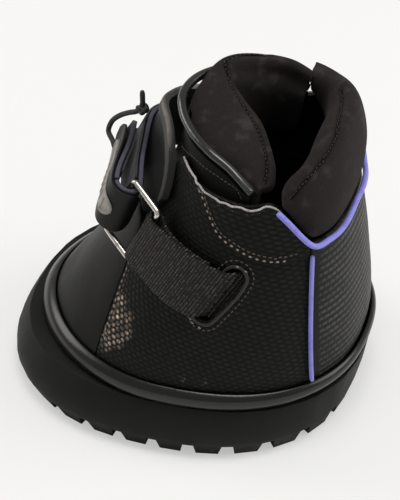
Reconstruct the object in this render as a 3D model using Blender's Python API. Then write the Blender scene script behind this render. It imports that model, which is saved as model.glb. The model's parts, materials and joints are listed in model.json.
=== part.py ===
"""Horse hoof boot: a rubber sole cup with a lug tread, a lasted upper of coated fabric panels, a padded
collar and tongue, and a front strap that runs through a wire ring and folds back on itself.

Metres, +Z up, origin on the ground below the middle of the sole. The toe points to -Y. The side with the
ring is +X and is called near, the other side far.
"""

import math

import bmesh
import bpy
import numpy as np

MM = 0.001

# Clearance between pieces that touch on the real boot.
GAP = 0.4 * MM

# The whole boot.
SOLE_LENGTH = 165 * MM
SOLE_WIDTH = 145 * MM
BOOT_HEIGHT = 146 * MM

# Sole unit.
TREAD_DEPTH = 6.8 * MM
TREAD_RING_WIDTH = 24 * MM
TREAD_PITCH = 17.6 * MM
CREASE_HEIGHT = 9 * MM
SHOULDER_HEIGHT = 17 * MM
WALL_TOP = 24.5 * MM
FLOOR_HEIGHT = 13 * MM
CENTRE_LUG_LENGTH = 17 * MM
CENTRE_LUG_WIDTH = 9 * MM
CENTRE_LUG_SINK = 2 * MM

# Foxing band: the rounded bead round the upper, above the sole's wall.
BAND_HEIGHT = 8.3 * MM
BAND_BULGE = 3.7 * MM

# Upper.
PANEL_THICKNESS = 1.8 * MM
OVERLAY_THICKNESS = 1.3 * MM
COUNTER_THICKNESS = 1.8 * MM
LINING_THICKNESS = 2.2 * MM
BOARD_THICKNESS = 2.2 * MM
FOOTBED_THICKNESS = 6 * MM
TOE_CAP_TOP = 0.60274 * BOOT_HEIGHT
COUNTER_BEARING = 122
COUNTER_BOTTOM = 18 * MM
COUNTER_TOP = 0.65753 * BOOT_HEIGHT
LINING_FRONT_TOP = 0.59589 * BOOT_HEIGHT
HEEL_TOP = 0.69178 * BOOT_HEIGHT
SEAM_PIPING_RADIUS = 1.1 * MM
COLLAR_PIPING_RADIUS = 1.4 * MM

# Rear collar pad.
COLLAR_PAD_BULGE = 2.6 * MM
COLLAR_PAD_DEPTH = 15 * MM
COLLAR_PAD_TOP = 0.9726 * BOOT_HEIGHT
COLLAR_PAD_END_HEIGHT = 7 * MM
COLLAR_PAD_FAR_BEARING = 111
collar_pad_full_share = 0.9

# Tongue.
TONGUE_PAD_THICKNESS = 9.5 * MM
TONGUE_LIP_THICKNESS = 6.5 * MM
TONGUE_SHELL_THICKNESS = 1.4 * MM
TONGUE_ROLL_RADIUS = 2.2 * MM
TONGUE_CLEARANCE = 1.0 * MM

# Wire ring.
RING_WIRE = 2.8 * MM
RING_WINDOW_LENGTH = 16 * MM
RING_WINDOW_WIDTH = 28 * MM
RING_CORNER = 2 * MM
RING_STAND_OFF = 6.2 * MM

# Webbing and its slot.
WEBBING_WIDTH = 25.4 * MM
WEBBING_THICKNESS = 1.3 * MM
WEBBING_REST = WEBBING_THICKNESS + 1.8 * GAP
WEBBING_TAIL = 9 * MM
WEBBING_SEAM_START = 12 * MM
SLOT_LENGTH = 29 * MM
SLOT_WIDTH = 8 * MM
SLOT_FRAME_BORDER = 3.2 * MM
SLOT_FRAME_THICKNESS = 0.9 * MM

# Closure strap with its pads, tab and cord.
STRAP_THICKNESS = 2.2 * MM
STRAP_WIDTH = 34 * MM
LEG_WIDTH = 25 * MM
STRAP_STAND_OFF = 2.6 * MM
FOLD_RADIUS = 5.3 * MM
FOLD_LENGTH = 37 * MM
PATCH_THICKNESS = 0.9 * MM
PATCH_MARGIN = 1.2 * MM
BINDING_THICKNESS = 0.8 * MM
BINDING_DEPTH = 2.8 * MM
TAB_THICKNESS = 1.7 * MM
TAB_MARGIN = 2.0 * MM
TAB_OVERHANG = 5 * MM
PLATE_THICKNESS = 0.9 * MM
PLATE_WIDTH = 9.5 * MM
PLATE_LENGTH = 33 * MM
CORD_DIAMETER = 2.4 * MM
KNOT_RADIUS = 3.3 * MM
knot_shares = (1.0, 0.8, 0.85)
EYELET_RADIUS = 2.6 * MM

# How finely the pieces are divided.
PLATE_COLUMNS = 60
LINING_COLUMNS = 44
LINING_ROWS = 7
BAND_COLUMNS = 72
TOE_CAP_COLUMNS = 20
TOE_CAP_ROWS = 9
QUARTER_COLUMNS = 26
QUARTER_ROWS = 10
HEEL_COLUMNS = 16
HEEL_ROWS = 8
OVERLAY_COLUMNS = 24
OVERLAY_ROWS = 4
PIPING_STEPS = 38
SEAM_STEPS = 12
COLLAR_PAD_STEPS = 30
TONGUE_COLUMNS = 24

# Small steps of the finite differences and the overrun of cutters.
BEARING_STEP = 0.01
WALK_STEPS = 8
CUT_OVERRUN = 4 * MM

HALF_LENGTH = SOLE_LENGTH / 2
HALF_WIDTH = SOLE_WIDTH / 2
middle_share = 0.0584
MIDDLE = middle_share * HALF_LENGTH
BAND_BOTTOM = WALL_TOP + GAP
BAND_TOP = BAND_BOTTOM + BAND_HEIGHT

# The upper's outer surface. Each row of shares follows a height: lengths are shares of half the sole's
# length, widths and lean of half its width, heights of the boot's height. The powers square the outline.
upper_height_shares = np.array((0.082, 0.151, 0.219, 0.342, 0.479, 0.616, 0.719, 0.808, 0.890, 1.0))
upper_front_shares = np.array((0.860, 0.806, 0.739, 0.580, 0.394, 0.220, 0.124, 0.064, 0.028, 0.000))
upper_rear_shares = np.array((0.915, 0.969, 1.016, 1.010, 0.979, 0.938, 0.895, 0.876, 0.866, 0.860))
upper_width_shares = np.array((0.883, 0.887, 0.880, 0.828, 0.758, 0.683, 0.634, 0.600, 0.586, 0.580))
upper_centre_shares = np.array((0.036, 0.060, 0.085, 0.170, 0.255, 0.339, 0.388, 0.412, 0.424, 0.424))
upper_lean_shares = np.array((0.000, 0.000, 0.000, 0.000, -0.010, -0.024, -0.039, -0.049, -0.053, -0.053))
UPPER_FRONT_POWERS = np.array((1.85, 1.85, 1.85, 1.88, 1.85, 1.8, 1.82, 1.87, 1.9, 1.95))
UPPER_REAR_POWERS = np.array((2.35, 2.35, 2.35, 2.4, 2.5, 2.6, 2.8, 3.0, 3.0, 3.0))

# The sole's outer wall, from the ground to its top.
sole_front_shares = np.array((0.885, 0.937, 0.912, 0.858))
sole_rear_shares = np.array((0.976, 1.007, 1.021, 1.036))
sole_width_shares = np.array((0.959, 1.000, 0.977, 0.919))
sole_centre_shares = np.array((0.000, 0.000, 0.021, 0.052))
SOLE_HEIGHTS = np.array((0.0, CREASE_HEIGHT, SHOULDER_HEIGHT, WALL_TOP))
SOLE_FRONT_POWER = 2.35
SOLE_REAR_POWER = 2.4

# Top edge of the upper by bearing from the toe, in degrees, as shares of the boot's height.
RIM_BEARINGS = np.array((0, 42, 59, 81, 100, 112, 119, 126, 133, 143, 180))
rim_shares = np.array((0.862, 0.856, 0.838, 0.829, 0.823, 0.838, 0.800, 0.750, 0.706, 0.692, 0.695))

# Lower edge of the overlay by bearing.
OVERLAY_BEARINGS = np.array((64, 70, 77, 88, 96, 105, 118, 133))
overlay_low_shares = np.array((0.833, 0.818, 0.774, 0.712, 0.692, 0.671, 0.658, 0.668))

# Places along the length where the seams cross the bottom and the top of their panels.
toe_seam_low_share = -0.309
toe_seam_top_share = -0.145
throat_top_share = 0.062
rear_seam_low_share = 0.866
rear_seam_top_share = 0.800


# Slot: its middle's place along the length and height, and its tilt in degrees from level.
slot_place_share = 0.394
slot_height_share = 0.545
SLOT_TILT = 57

# Ring: the bearing and height of its rear bar, and its frame.
RING_BEARING = 49.5
ring_height_share = 0.622
RING_CORNER_STEPS = 5


def unit(vector):
    return np.array(vector) / np.linalg.norm(vector)


RING_ACROSS = unit((-0.044, 0.438, 0.899))
RING_OUT = unit(np.cross(RING_ACROSS, (-0.540, -0.770, 0.350)))
RING_AHEAD = np.cross(RING_OUT, RING_ACROSS)

# The fold round the front bar: its width direction, the way its legs run back, and the way they lie apart.
FOLD_ACROSS = unit((0.005, 0.360, 0.930))
FOLD_APART = unit(np.cross(FOLD_ACROSS, (-0.945, -0.310, 0.090)))
FOLD_BACK = np.cross(FOLD_APART, FOLD_ACROSS)

# Closure strap: bearings and heights of its middle line on the far side with its stand-off there, then
# its places over the front and its width direction at each of them.
STRAP_BEARINGS = (-104, -88, -70, -58, 12, 27, 41)
strap_height_shares = (0.520, 0.550, 0.612, 0.668, 0.750, 0.738, 0.695)
strap_lift_shares = (0.3, 0.4, 1.0, 2.4, 0.75, 0.55, 0.4)
STRAP_FRONT_START = 4
strap_front_shares = np.array((
    (-0.428, -0.231, 0.705), (-0.276, -0.281, 0.729), (-0.160, -0.257, 0.742), (-0.069, -0.207, 0.749),
))
STRAP_FRONT_WAYS = ((-0.20, 0.42, 0.88), (-0.17, 0.44, 0.88), (-0.13, 0.42, 0.90), (-0.10, 0.36, 0.93))
STRAP_STEPS = 40
SMOOTH_ROUNDS = 6
BINDING_START = 10
strap_end_shares = (0.32, 0.20, 0.10, 0.03)

# Narrow strap: where it is sewn on the wide one, and its run beyond the ring as shares of the fold's length.
leg_seat_shares = (0.47, 0.52, 0.57, 0.62)
leg_run_shares = (0.5, 0.25, 0.0)
LEG_STEPS = 26
FOLD_STEPS = 8
FOLD_COLUMNS = 16
fold_guide_shares = (0.32, 0.52, 0.74, 1.0)
plate_side_share = -0.15

# Cord routes as (across, out, along) from the tab's end, and the knot's place there.
CORD_STEP_DIAMETERS = 2.2
CORD_SIDE = -8.5 * MM
CORD_ROUTE = MM * np.array((
    (0, 0, 0), (0, 0.5, 2.4), (-0.6, 2.5, 4.6), (0.8, 4.0, 6.0), (5.6, 3.2, 6.9), (10.8, 1.9, 6.8),
    (15.6, 0.1, 5.7), (21.2, -2.4, 4.2),
))
KNOT_PLACE = MM * np.array((24.3, -3.5, 3.6))
TAIL_ROUTE = MM * np.array(((27.1, -2.1, 4.5), (29.5, -0.9, 5.3), (32.2, 0.6, 6.4)))

# Tongue: its columns run from the near wing's end to the far wing's.
TONGUE_BEARINGS = (98, 88, 76, 63, 42, 22, 2, -18, -38, -56, -74, -88, -99)
TONGUE_STOPS = tuple(k / 12 for k in range(13))
tongue_base_shares = (0.630, 0.678)
tongue_roll_shares = np.array((
    (0.508, 0.503, 0.855), (0.441, 0.424, 0.866), (0.393, 0.351, 0.884), (0.352, 0.249, 0.904),
    (0.221, 0.103, 0.921), (0.083, 0.012, 0.938), (-0.027, -0.024, 0.949), (-0.165, -0.019, 0.953),
    (-0.317, 0.030, 0.946), (-0.441, 0.109, 0.932), (-0.538, 0.230, 0.914), (-0.586, 0.376, 0.892),
    (-0.586, 0.521, 0.862),
))
tongue_lip_shares = np.array((
    (0.386, 0.570, 0.853), (0.263, 0.564, 0.877), (0.124, 0.497, 0.904), (-0.014, 0.412, 0.932),
    (-0.131, 0.291, 0.957), (-0.234, 0.188, 0.980), (-0.338, 0.115, 0.993), (-0.400, 0.109, 0.998),
    (-0.455, 0.140, 0.996), (-0.511, 0.212, 0.992), (-0.551, 0.327, 0.986), (-0.574, 0.449, 0.976),
    (-0.574, 0.558, 0.945),
))


def spline(places, values, at):
    """The value at one place of a smooth curve through the values given at some places."""
    at = np.clip(at, places[0], places[-1])
    slopes = np.gradient(values, places)
    i = int(np.clip(np.searchsorted(places, at) - 1, 0, len(places) - 2))
    step = places[i + 1] - places[i]
    t = (at - places[i]) / step
    start = (1 + 2 * t) * (1 - t) ** 2 * values[i] + t * (1 - t) ** 2 * step * slopes[i]
    return start + t * t * (3 - 2 * t) * values[i + 1] - t * t * (1 - t) * step * slopes[i + 1]


def outline(bearing, front, rear, half_width, centre, front_power, rear_power):
    """A point (x, y) of an egg-shaped outline, seen from its centre at a bearing from the toe."""
    ahead = math.cos(bearing) > 0
    length = centre + front if ahead else rear - centre
    power = front_power if ahead else rear_power
    across = abs(math.sin(bearing)) / half_width
    along = abs(math.cos(bearing)) / length
    radius = (across**power + along**power) ** (-1 / power)
    return np.array((radius * math.sin(bearing), centre - MIDDLE - radius * math.cos(bearing)))


def upper_section(height):
    """The sizes of the upper's outline at a height, and its lean."""
    share = height / BOOT_HEIGHT

    def read(values):
        return float(spline(upper_height_shares, values, share))

    sizes = (
        read(upper_front_shares) * HALF_LENGTH,
        read(upper_rear_shares) * HALF_LENGTH,
        read(upper_width_shares) * HALF_WIDTH,
        read(upper_centre_shares) * HALF_LENGTH,
        read(UPPER_FRONT_POWERS),
        read(UPPER_REAR_POWERS),
    )
    return sizes, read(upper_lean_shares) * HALF_WIDTH


def sole_section(height):
    """The sizes of the sole's outline at a height."""
    return (
        float(spline(SOLE_HEIGHTS, sole_front_shares, height)) * HALF_LENGTH,
        float(spline(SOLE_HEIGHTS, sole_rear_shares, height)) * HALF_LENGTH,
        float(spline(SOLE_HEIGHTS, sole_width_shares, height)) * HALF_WIDTH,
        float(spline(SOLE_HEIGHTS, sole_centre_shares, height)) * HALF_LENGTH,
        SOLE_FRONT_POWER,
        SOLE_REAR_POWER,
    )


def pushed(bearing, sizes, offset):
    """A point of an outline, moved out of it by an offset, square to it."""
    ahead = outline(bearing + BEARING_STEP, *sizes)
    behind = outline(bearing - BEARING_STEP, *sizes)
    along = (ahead - behind) / np.linalg.norm(ahead - behind)
    return outline(bearing, *sizes) + offset * np.array((along[1], -along[0]))


def shell(bearing, height, offset=0.0):
    """A point of the upper's outer surface, moved out by an offset."""
    sizes, lean = upper_section(height)
    x, y = pushed(bearing, sizes, offset)
    return np.array((x + lean, y, height))


def wall(bearing, height, offset=0.0):
    """A point of the sole's outer surface, moved out by an offset."""
    x, y = pushed(bearing, sole_section(height), offset)
    return np.array((x, y, height))


def bearing_of(place, height):
    """The near side's bearing of the surface point that lies at a place along the length."""
    (front, rear, half_width, centre, front_power, rear_power), _ = upper_section(height)
    place += MIDDLE
    ahead = place < centre
    length = centre + front if ahead else rear - centre
    power = front_power if ahead else rear_power
    share = min(abs(place - centre) / length, 1.0)
    return math.atan2(half_width * (1 - share**power) ** (1 / power), centre - place)


def rim(bearing):
    """Height of the upper's top edge at a bearing, alike on both sides."""
    turn = math.degrees(math.acos(math.cos(bearing)))
    return float(spline(RIM_BEARINGS, rim_shares, turn)) * BOOT_HEIGHT


def toe_seam(height, shift=0.0):
    """Bearing of the near seam in front, up the toe cap's side and then up the throat."""
    low = toe_seam_low_share * HALF_LENGTH - MIDDLE
    top = toe_seam_top_share * HALF_LENGTH - MIDDLE
    throat = throat_top_share * HALF_LENGTH - MIDDLE
    heights = (BAND_BOTTOM, TOE_CAP_TOP, BOOT_HEIGHT * rim_shares[1])
    return bearing_of(float(np.interp(height, heights, (low, top, throat))) + shift, height)


def rear_seam(height, shift=0.0):
    """Bearing of the near seam between the quarter and the heel panel."""
    low = rear_seam_low_share * HALF_LENGTH - MIDDLE
    top = rear_seam_top_share * HALF_LENGTH - MIDDLE
    return bearing_of(float(np.interp(height, (BAND_BOTTOM, HEEL_TOP), (low, top))) + shift, height)


def finish(name, colour, roughness, metallic=0.0):
    """A plain Principled material."""
    material = bpy.data.materials.new(name)
    material.use_nodes = True
    shader = material.node_tree.nodes["Principled BSDF"]
    shader.inputs["Base Color"].default_value = (*colour, 1.0)
    shader.inputs["Roughness"].default_value = roughness
    shader.inputs["Metallic"].default_value = metallic
    return material


def add_object(name, mesh, material):
    """Puts a mesh into the scene as a named object, with its faces turned outwards."""
    obj = bpy.data.objects.new(name, mesh)
    bpy.context.scene.collection.objects.link(obj)
    work = bmesh.new()
    work.from_mesh(mesh)
    bmesh.ops.recalc_face_normals(work, faces=work.faces)
    work.to_mesh(mesh)
    work.free()
    mesh.materials.append(material)
    mesh.shade_smooth()
    mesh.set_sharp_from_angle(angle=math.radians(35))
    return obj


def mesh_of(name, points, faces):
    mesh = bpy.data.meshes.new(name)
    mesh.from_pydata([tuple(map(float, point)) for point in points], [], faces)
    return mesh


def loft(name, rings, material, round_trip=False):
    """Closed solid through rings of points. It is capped at both ends, or joined into a loop."""
    count = len(rings[0])
    points = [point for ring in rings for point in ring]
    faces = []
    for i in range(len(rings) if round_trip else len(rings) - 1):
        here, there = i * count, (i + 1) % len(rings) * count
        for j in range(count):
            k = (j + 1) % count
            faces.append((here + j, here + k, there + k, there + j))
    if not round_trip:
        faces.append(tuple(range(count)))
        faces.append(tuple(range((len(rings) - 1) * count, len(rings) * count)))
    return add_object(name, mesh_of(name, points, faces), material)


def slab(name, outer, inner, material):
    """Closed solid between two grids of points of the same size."""
    columns, rows = len(outer), len(outer[0])
    rings = []
    for i in range(columns):
        rings.append(list(outer[i]) + list(inner[i])[::-1])
    size = 2 * rows
    points = [point for ring in rings for point in ring]
    faces = []
    for i in range(columns - 1):
        for j in range(size):
            k = (j + 1) % size
            faces.append((i * size + j, i * size + k, (i + 1) * size + k, (i + 1) * size + j))
    for start in (0, (columns - 1) * size):
        for j in range(rows - 1):
            faces.append((start + j, start + j + 1, start + size - 2 - j, start + size - 1 - j))
    return add_object(name, mesh_of(name, points, faces), material)


def panel(name, left, right, bottom, top, columns, rows, outer, inner, material):
    """A panel of the upper. Left and right give a bearing by height, bottom and top a height by bearing."""
    outside, inside = [], []
    for i in range(columns + 1):
        share = i / columns
        bearing = left(HEEL_TOP) * (1 - share) + right(HEEL_TOP) * share
        high = top(bearing)
        for _ in range(4):
            bearing = left(high) * (1 - share) + right(high) * share
            high = top(bearing)
        low = bottom(bearing)
        column_out, column_in = [], []
        for j in range(rows + 1):
            height = low + (high - low) * j / rows
            at = left(height) * (1 - share) + right(height) * share
            column_out.append(shell(at, height, outer))
            column_in.append(shell(at, height, inner))
        outside.append(column_out)
        inside.append(column_in)
    return slab(name, outside, inside, material)


def tube(name, centres, radii, sides, material, round_trip=False, up=(0, 0, 1)):
    """Round tube through centres, with one radius or a radius for each centre."""
    radii = np.broadcast_to(radii, len(centres))
    centres = np.array(centres)
    rings = []
    for i, centre in enumerate(centres):
        if round_trip:
            along = unit(centres[(i + 1) % len(centres)] - centres[i - 1])
        else:
            along = unit(centres[min(i + 1, len(centres) - 1)] - centres[max(i - 1, 0)])
        side = unit(np.cross(along, up))
        lift = np.cross(side, along)
        turns = (2 * math.pi * k / sides for k in range(sides))
        rings.append([centre + radii[i] * (math.cos(a) * side + math.sin(a) * lift) for a in turns])
    return loft(name, rings, material, round_trip)


class Ribbon:
    """A flat strap's middle line with its width direction, its normal and its width at each station."""

    def __init__(self, centres, across, width, outwards=1):
        self.centres = np.array(centres)
        self.width = width
        along = [unit(step) for step in np.gradient(self.centres, axis=0)]
        self.across = np.array([unit(a - np.dot(a, t) * t) for a, t in zip(across, along)])
        self.normals = np.array([outwards * unit(np.cross(t, w)) for w, t in zip(self.across, along)])

    def point(self, i, side, offset):
        """Side runs from -1 at the lower edge to 1 at the upper one, offset along the normal."""
        edge = self.across[i] * self.width / 2
        return self.centres[i] + side * edge + offset * self.normals[i]

    def layer(self, name, first, last, low, high, material, side_low=-1.0, side_high=1.0):
        """A flat layer on the ribbon, between two offsets along its normal."""
        rings = []
        bottoms = np.broadcast_to(side_low, len(self.centres))
        tops = np.broadcast_to(side_high, len(self.centres))
        for i in range(first, last + 1):
            corners = ((bottoms[i], low), (tops[i], low), (tops[i], high), (bottoms[i], high))
            rings.append([self.point(i, side, offset) for side, offset in corners])
        return loft(name, rings, material)


def boolean(target, cutter, operation, solver="EXACT"):
    modifier = target.modifiers.new(operation.title(), "BOOLEAN")
    modifier.operation = operation
    modifier.solver = solver
    modifier.object = cutter
    cutter.hide_render = True
    cutter.display_type = "WIRE"


def clear_scene():
    for obj in list(bpy.data.objects):
        bpy.data.objects.remove(obj, do_unlink=True)


def tread_stations():
    """Bearings round the sole with the height of the tread's face there: lugs with notches between."""
    around = 2 * math.pi
    rough = [wall(around * k / 90, CREASE_HEIGHT) for k in range(91)]
    length = sum(np.linalg.norm(b - a) for a, b in zip(rough, rough[1:]))
    lugs = 2 * round(length / TREAD_PITCH / 2)
    lug_shares = (0.0, 0.58, 0.65, 0.93)
    stations = []
    for k in range(lugs):
        for n, share in enumerate(lug_shares):
            stations.append((around * (k + share - lug_shares[1] / 2) / lugs, 0.0 if n < 2 else TREAD_DEPTH))
    return stations


def build_outsole(rubber):
    """Sole cup: floor, inner wall, rounded outer wall and lug tread, with lugs in the middle as well."""
    stations = tread_stations()
    bearings = [bearing for bearing, _ in stations]

    def level(height, offset=0.0):
        return [wall(b, height, offset) for b in bearings]

    def inside(height):
        return [shell(b, height, GAP) for b in bearings]

    def face(offset, sink=0.0):
        ring = []
        for b, height in stations:
            place = wall(b, height, -offset)
            place[2] = max(height, sink)
            ring.append(place)
        return ring

    rings = [
        inside(FLOOR_HEIGHT),
        inside((FLOOR_HEIGHT + WALL_TOP) / 2),
        inside(WALL_TOP),
        level(WALL_TOP),
        level((WALL_TOP + SHOULDER_HEIGHT) / 2),
        level(SHOULDER_HEIGHT),
        level((SHOULDER_HEIGHT + CREASE_HEIGHT) / 2),
        level(CREASE_HEIGHT),
        level((TREAD_DEPTH + CREASE_HEIGHT) / 2),
        face(0.0),
        face(TREAD_RING_WIDTH),
        face(TREAD_RING_WIDTH + GAP, TREAD_DEPTH),
    ]
    sole = loft("outsole", rings, rubber)
    lugs = centre_lugs(rubber)
    boolean(sole, lugs, "UNION", "MANIFOLD")
    return sole


def centre_lugs(rubber):
    """Rows of oblong lugs in the middle of the tread, as one helper mesh."""
    row_shares = (-0.42, -0.21, 0.0, 0.21, 0.42)
    column_shares = (-0.38, 0.0, 0.38)
    points, faces = [], []
    for row in row_shares:
        for column in column_shares:
            x, y = column * HALF_WIDTH, row * HALF_LENGTH
            half = (CENTRE_LUG_LENGTH / 2, CENTRE_LUG_WIDTH / 2)
            start = len(points)
            for z in (0.0, TREAD_DEPTH + CENTRE_LUG_SINK):
                for a, b in ((-1, -1), (1, -1), (1, 1), (-1, 1)):
                    points.append((x + a * half[0], y + b * half[1], z))
            for side in ((0, 1, 2, 3), (4, 5, 6, 7), (0, 1, 5, 4), (1, 2, 6, 5), (2, 3, 7, 6), (3, 0, 4, 7)):
                faces.append(tuple(start + corner for corner in side))
    return add_object("centre_lugs", mesh_of("centre_lugs", points, faces), rubber)


def build_band(rubber):
    """Foxing band: a closed rounded bead, pressed on the upper above the sole's wall."""
    height_shares = (0.0, 0.0, 0.3, 0.62, 0.86, 1.0, 1.0)
    bulge_shares = (0.0, 0.72, 1.0, 1.0, 0.72, 0.22, 0.0)
    rings = []
    for k in range(BAND_COLUMNS):
        bearing = 2 * math.pi * k / BAND_COLUMNS
        ring = []
        for up, out in zip(height_shares, bulge_shares):
            ring.append(shell(bearing, BAND_BOTTOM + up * BAND_HEIGHT, GAP + out * (BAND_BULGE - GAP)))
        rings.append(ring)
    return loft("foxing_band", rings, rubber, round_trip=True)


def plate(name, bottom, top, offset, material):
    """A plate that fills the upper's outline, moved in by an offset."""
    bearings = [2 * math.pi * k / PLATE_COLUMNS for k in range(PLATE_COLUMNS)]
    return loft(name, [[shell(b, z, offset) for b in bearings] for z in (bottom, top)], material)


def build_insides(board, foam, fabric, stiff):
    """Insole board, footbed, lining and heel counter."""
    board_bottom = FLOOR_HEIGHT + GAP
    board_top = board_bottom + BOARD_THICKNESS
    footbed_bottom = board_top + GAP
    lining_out = PANEL_THICKNESS + COUNTER_THICKNESS + 5 * GAP
    lining_in = lining_out + LINING_THICKNESS
    plate("insole_board", board_bottom, board_top, -PANEL_THICKNESS - GAP, board)
    plate("footbed", footbed_bottom, footbed_bottom + FOOTBED_THICKNESS, -lining_in - 4 * GAP, foam)

    def lining_top(bearing):
        turn = math.degrees(math.acos(math.cos(bearing)))
        share = float(np.interp(turn, (COUNTER_BEARING, COUNTER_BEARING + 14), (0, 1)))
        return LINING_FRONT_TOP * (1 - share) + (rim(bearing) - GAP) * share

    low = board_top + GAP
    rings = []
    for k in range(LINING_COLUMNS):
        bearing = 2 * math.pi * k / LINING_COLUMNS
        high = lining_top(bearing)
        heights = [low + (high - low) * j / LINING_ROWS for j in range(LINING_ROWS + 1)]
        ring = [shell(bearing, z, -lining_out) for z in heights]
        ring += [shell(bearing, z, -lining_in) for z in heights[::-1]]
        rings.append(ring)
    loft("lining", rings, fabric, round_trip=True)
    start = math.radians(COUNTER_BEARING)
    panel(
        "heel_counter",
        lambda height: start,
        lambda height: 2 * math.pi - start,
        lambda bearing: COUNTER_BOTTOM,
        lambda bearing: COUNTER_TOP,
        HEEL_COLUMNS,
        HEEL_ROWS,
        -PANEL_THICKNESS - 2.5 * GAP,
        -PANEL_THICKNESS - 2.5 * GAP - COUNTER_THICKNESS,
        stiff,
    )


def build_panels(smooth, coated, ribbed):
    """Toe cap, both quarters, heel panel and both overlays."""
    low = FLOOR_HEIGHT + GAP

    def bottom(bearing):
        return low

    panel(
        "toe_cap",
        lambda height: -toe_seam(height, -GAP / 2),
        lambda height: toe_seam(height, -GAP / 2),
        bottom,
        lambda bearing: TOE_CAP_TOP,
        TOE_CAP_COLUMNS,
        TOE_CAP_ROWS,
        0.0,
        -PANEL_THICKNESS,
        smooth,
    )
    near = panel(
        "near_quarter",
        lambda height: toe_seam(height, GAP / 2),
        lambda height: rear_seam(height, -GAP / 2),
        bottom,
        rim,
        QUARTER_COLUMNS,
        QUARTER_ROWS,
        0.0,
        -PANEL_THICKNESS,
        coated,
    )
    panel(
        "far_quarter",
        lambda height: -rear_seam(height, -GAP / 2),
        lambda height: -toe_seam(height, GAP / 2),
        bottom,
        rim,
        QUARTER_COLUMNS,
        QUARTER_ROWS,
        0.0,
        -PANEL_THICKNESS,
        coated,
    )
    panel(
        "heel_panel",
        lambda height: rear_seam(height, GAP / 2),
        lambda height: 2 * math.pi - rear_seam(height, GAP / 2),
        bottom,
        rim,
        HEEL_COLUMNS,
        HEEL_ROWS,
        0.0,
        -PANEL_THICKNESS,
        ribbed,
    )
    for name, sign in (("near_overlay", 1), ("far_overlay", -1)):
        build_overlay(name, sign, coated)
    return near


def build_overlay(name, sign, coated):
    """Second layer under the mouth, with a curved lower edge."""
    first, last = math.radians(OVERLAY_BEARINGS[0] + 2), math.radians(OVERLAY_BEARINGS[-1])

    def low(bearing):
        turn = abs(math.degrees(bearing))
        return float(spline(OVERLAY_BEARINGS, overlay_low_shares, turn)) * BOOT_HEIGHT

    left, right = (first, last) if sign > 0 else (-last, -first)
    return panel(
        name,
        lambda height: left,
        lambda height: right,
        low,
        lambda bearing: max(rim(bearing) - 2 * GAP, low(bearing) + 4 * GAP),
        OVERLAY_COLUMNS,
        OVERLAY_ROWS,
        GAP + OVERLAY_THICKNESS,
        GAP,
        coated,
    )


def build_pipings(piping):
    """Round piping up both rear seams and under the rear collar."""
    low = BAND_TOP + GAP + SEAM_PIPING_RADIUS
    high = HEEL_TOP - COLLAR_PIPING_RADIUS - SEAM_PIPING_RADIUS - 3 * GAP
    out = GAP + SEAM_PIPING_RADIUS
    heights = [low + (high - low) * k / SEAM_STEPS for k in range(SEAM_STEPS + 1)]
    for name, sign in (("near_seam_piping", 1), ("far_seam_piping", -1)):
        centres = [shell(sign * rear_seam(z), z, out) for z in heights]
        tube(name, centres, SEAM_PIPING_RADIUS, 8, piping, up=(1, 0, 0))
    start = math.radians(RIM_BEARINGS[5] + 2)
    count = PIPING_STEPS
    bearings = [start + (2 * math.pi - 2 * start) * k / count for k in range(count + 1)]
    centres = []
    for bearing in bearings:
        turn = math.degrees(math.acos(math.cos(bearing)))
        lift = float(np.interp(turn, OVERLAY_BEARINGS[-1] + np.array((2, 12)), (OVERLAY_THICKNESS + GAP, 0.0)))
        centres.append(shell(bearing, rim(bearing), lift + GAP + COLLAR_PIPING_RADIUS))
    tube("collar_piping", centres, COLLAR_PIPING_RADIUS, 8, piping)


def build_collar_pad(neoprene):
    """Padded roll round the heel: crowned on top, drawn in where it is sewn to the heel panel."""
    out_shares = (-0.2, 0.55, 1.0, 0.85, 0.0, -1.6, -3.2, -4.6, -5.3, -5.0, -3.6, -2.0)
    up_shares = (0.0, 0.2, 0.48, 0.78, 0.95, 1.0, 0.98, 0.86, 0.6, 0.3, 0.06, 0.0)
    start, stop = math.radians(RIM_BEARINGS[5] + 3), math.radians(360 - COLLAR_PAD_FAR_BEARING)
    count = COLLAR_PAD_STEPS
    rings = []
    for k in range(count + 1):
        bearing = start + (stop - start) * k / count
        low = rim(bearing) + 2 * GAP
        end = math.sin(math.pi * min(k / count, collar_pad_full_share)) ** 0.5
        high = rim(start) + COLLAR_PAD_END_HEIGHT
        high += (COLLAR_PAD_TOP - high) * end
        depth = COLLAR_PAD_DEPTH / 5.3 * (0.45 + 0.55 * end)
        ring = []
        for out, up in zip(out_shares, up_shares):
            reach = out * COLLAR_PAD_BULGE if out > 0 else out * depth
            ring.append(shell(bearing, low + up * (high - low), reach))
        rings.append(ring)
    return loft("rear_collar_pad", rings, neoprene)


def slot_point(along, across, offset):
    """A point over the quarter from the slot's middle: along the slot, then forwards across it."""
    tilt = math.radians(SLOT_TILT)
    level = along * math.cos(tilt) - across * math.sin(tilt)
    height = slot_height_share * BOOT_HEIGHT + along * math.sin(tilt) + across * math.cos(tilt)
    bearing = bearing_of(slot_place_share * HALF_LENGTH - MIDDLE, height)
    for _ in range(WALK_STEPS):
        pace = np.linalg.norm(shell(bearing + BEARING_STEP, height) - shell(bearing - BEARING_STEP, height))
        bearing += level / WALK_STEPS * 2 * BEARING_STEP / pace
    return shell(bearing, height, offset)


def stadium(length, width, turns):
    """Points round an oblong with round ends, its length along the first axis."""
    half, radius = (length - width) / 2, width / 2
    points = []
    for end in (1, -1):
        for k in range(turns + 1):
            angle = math.pi * (k / turns - 1 / 2)
            points.append((end * (half + radius * math.cos(angle)), end * radius * math.sin(angle)))
    return points


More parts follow.
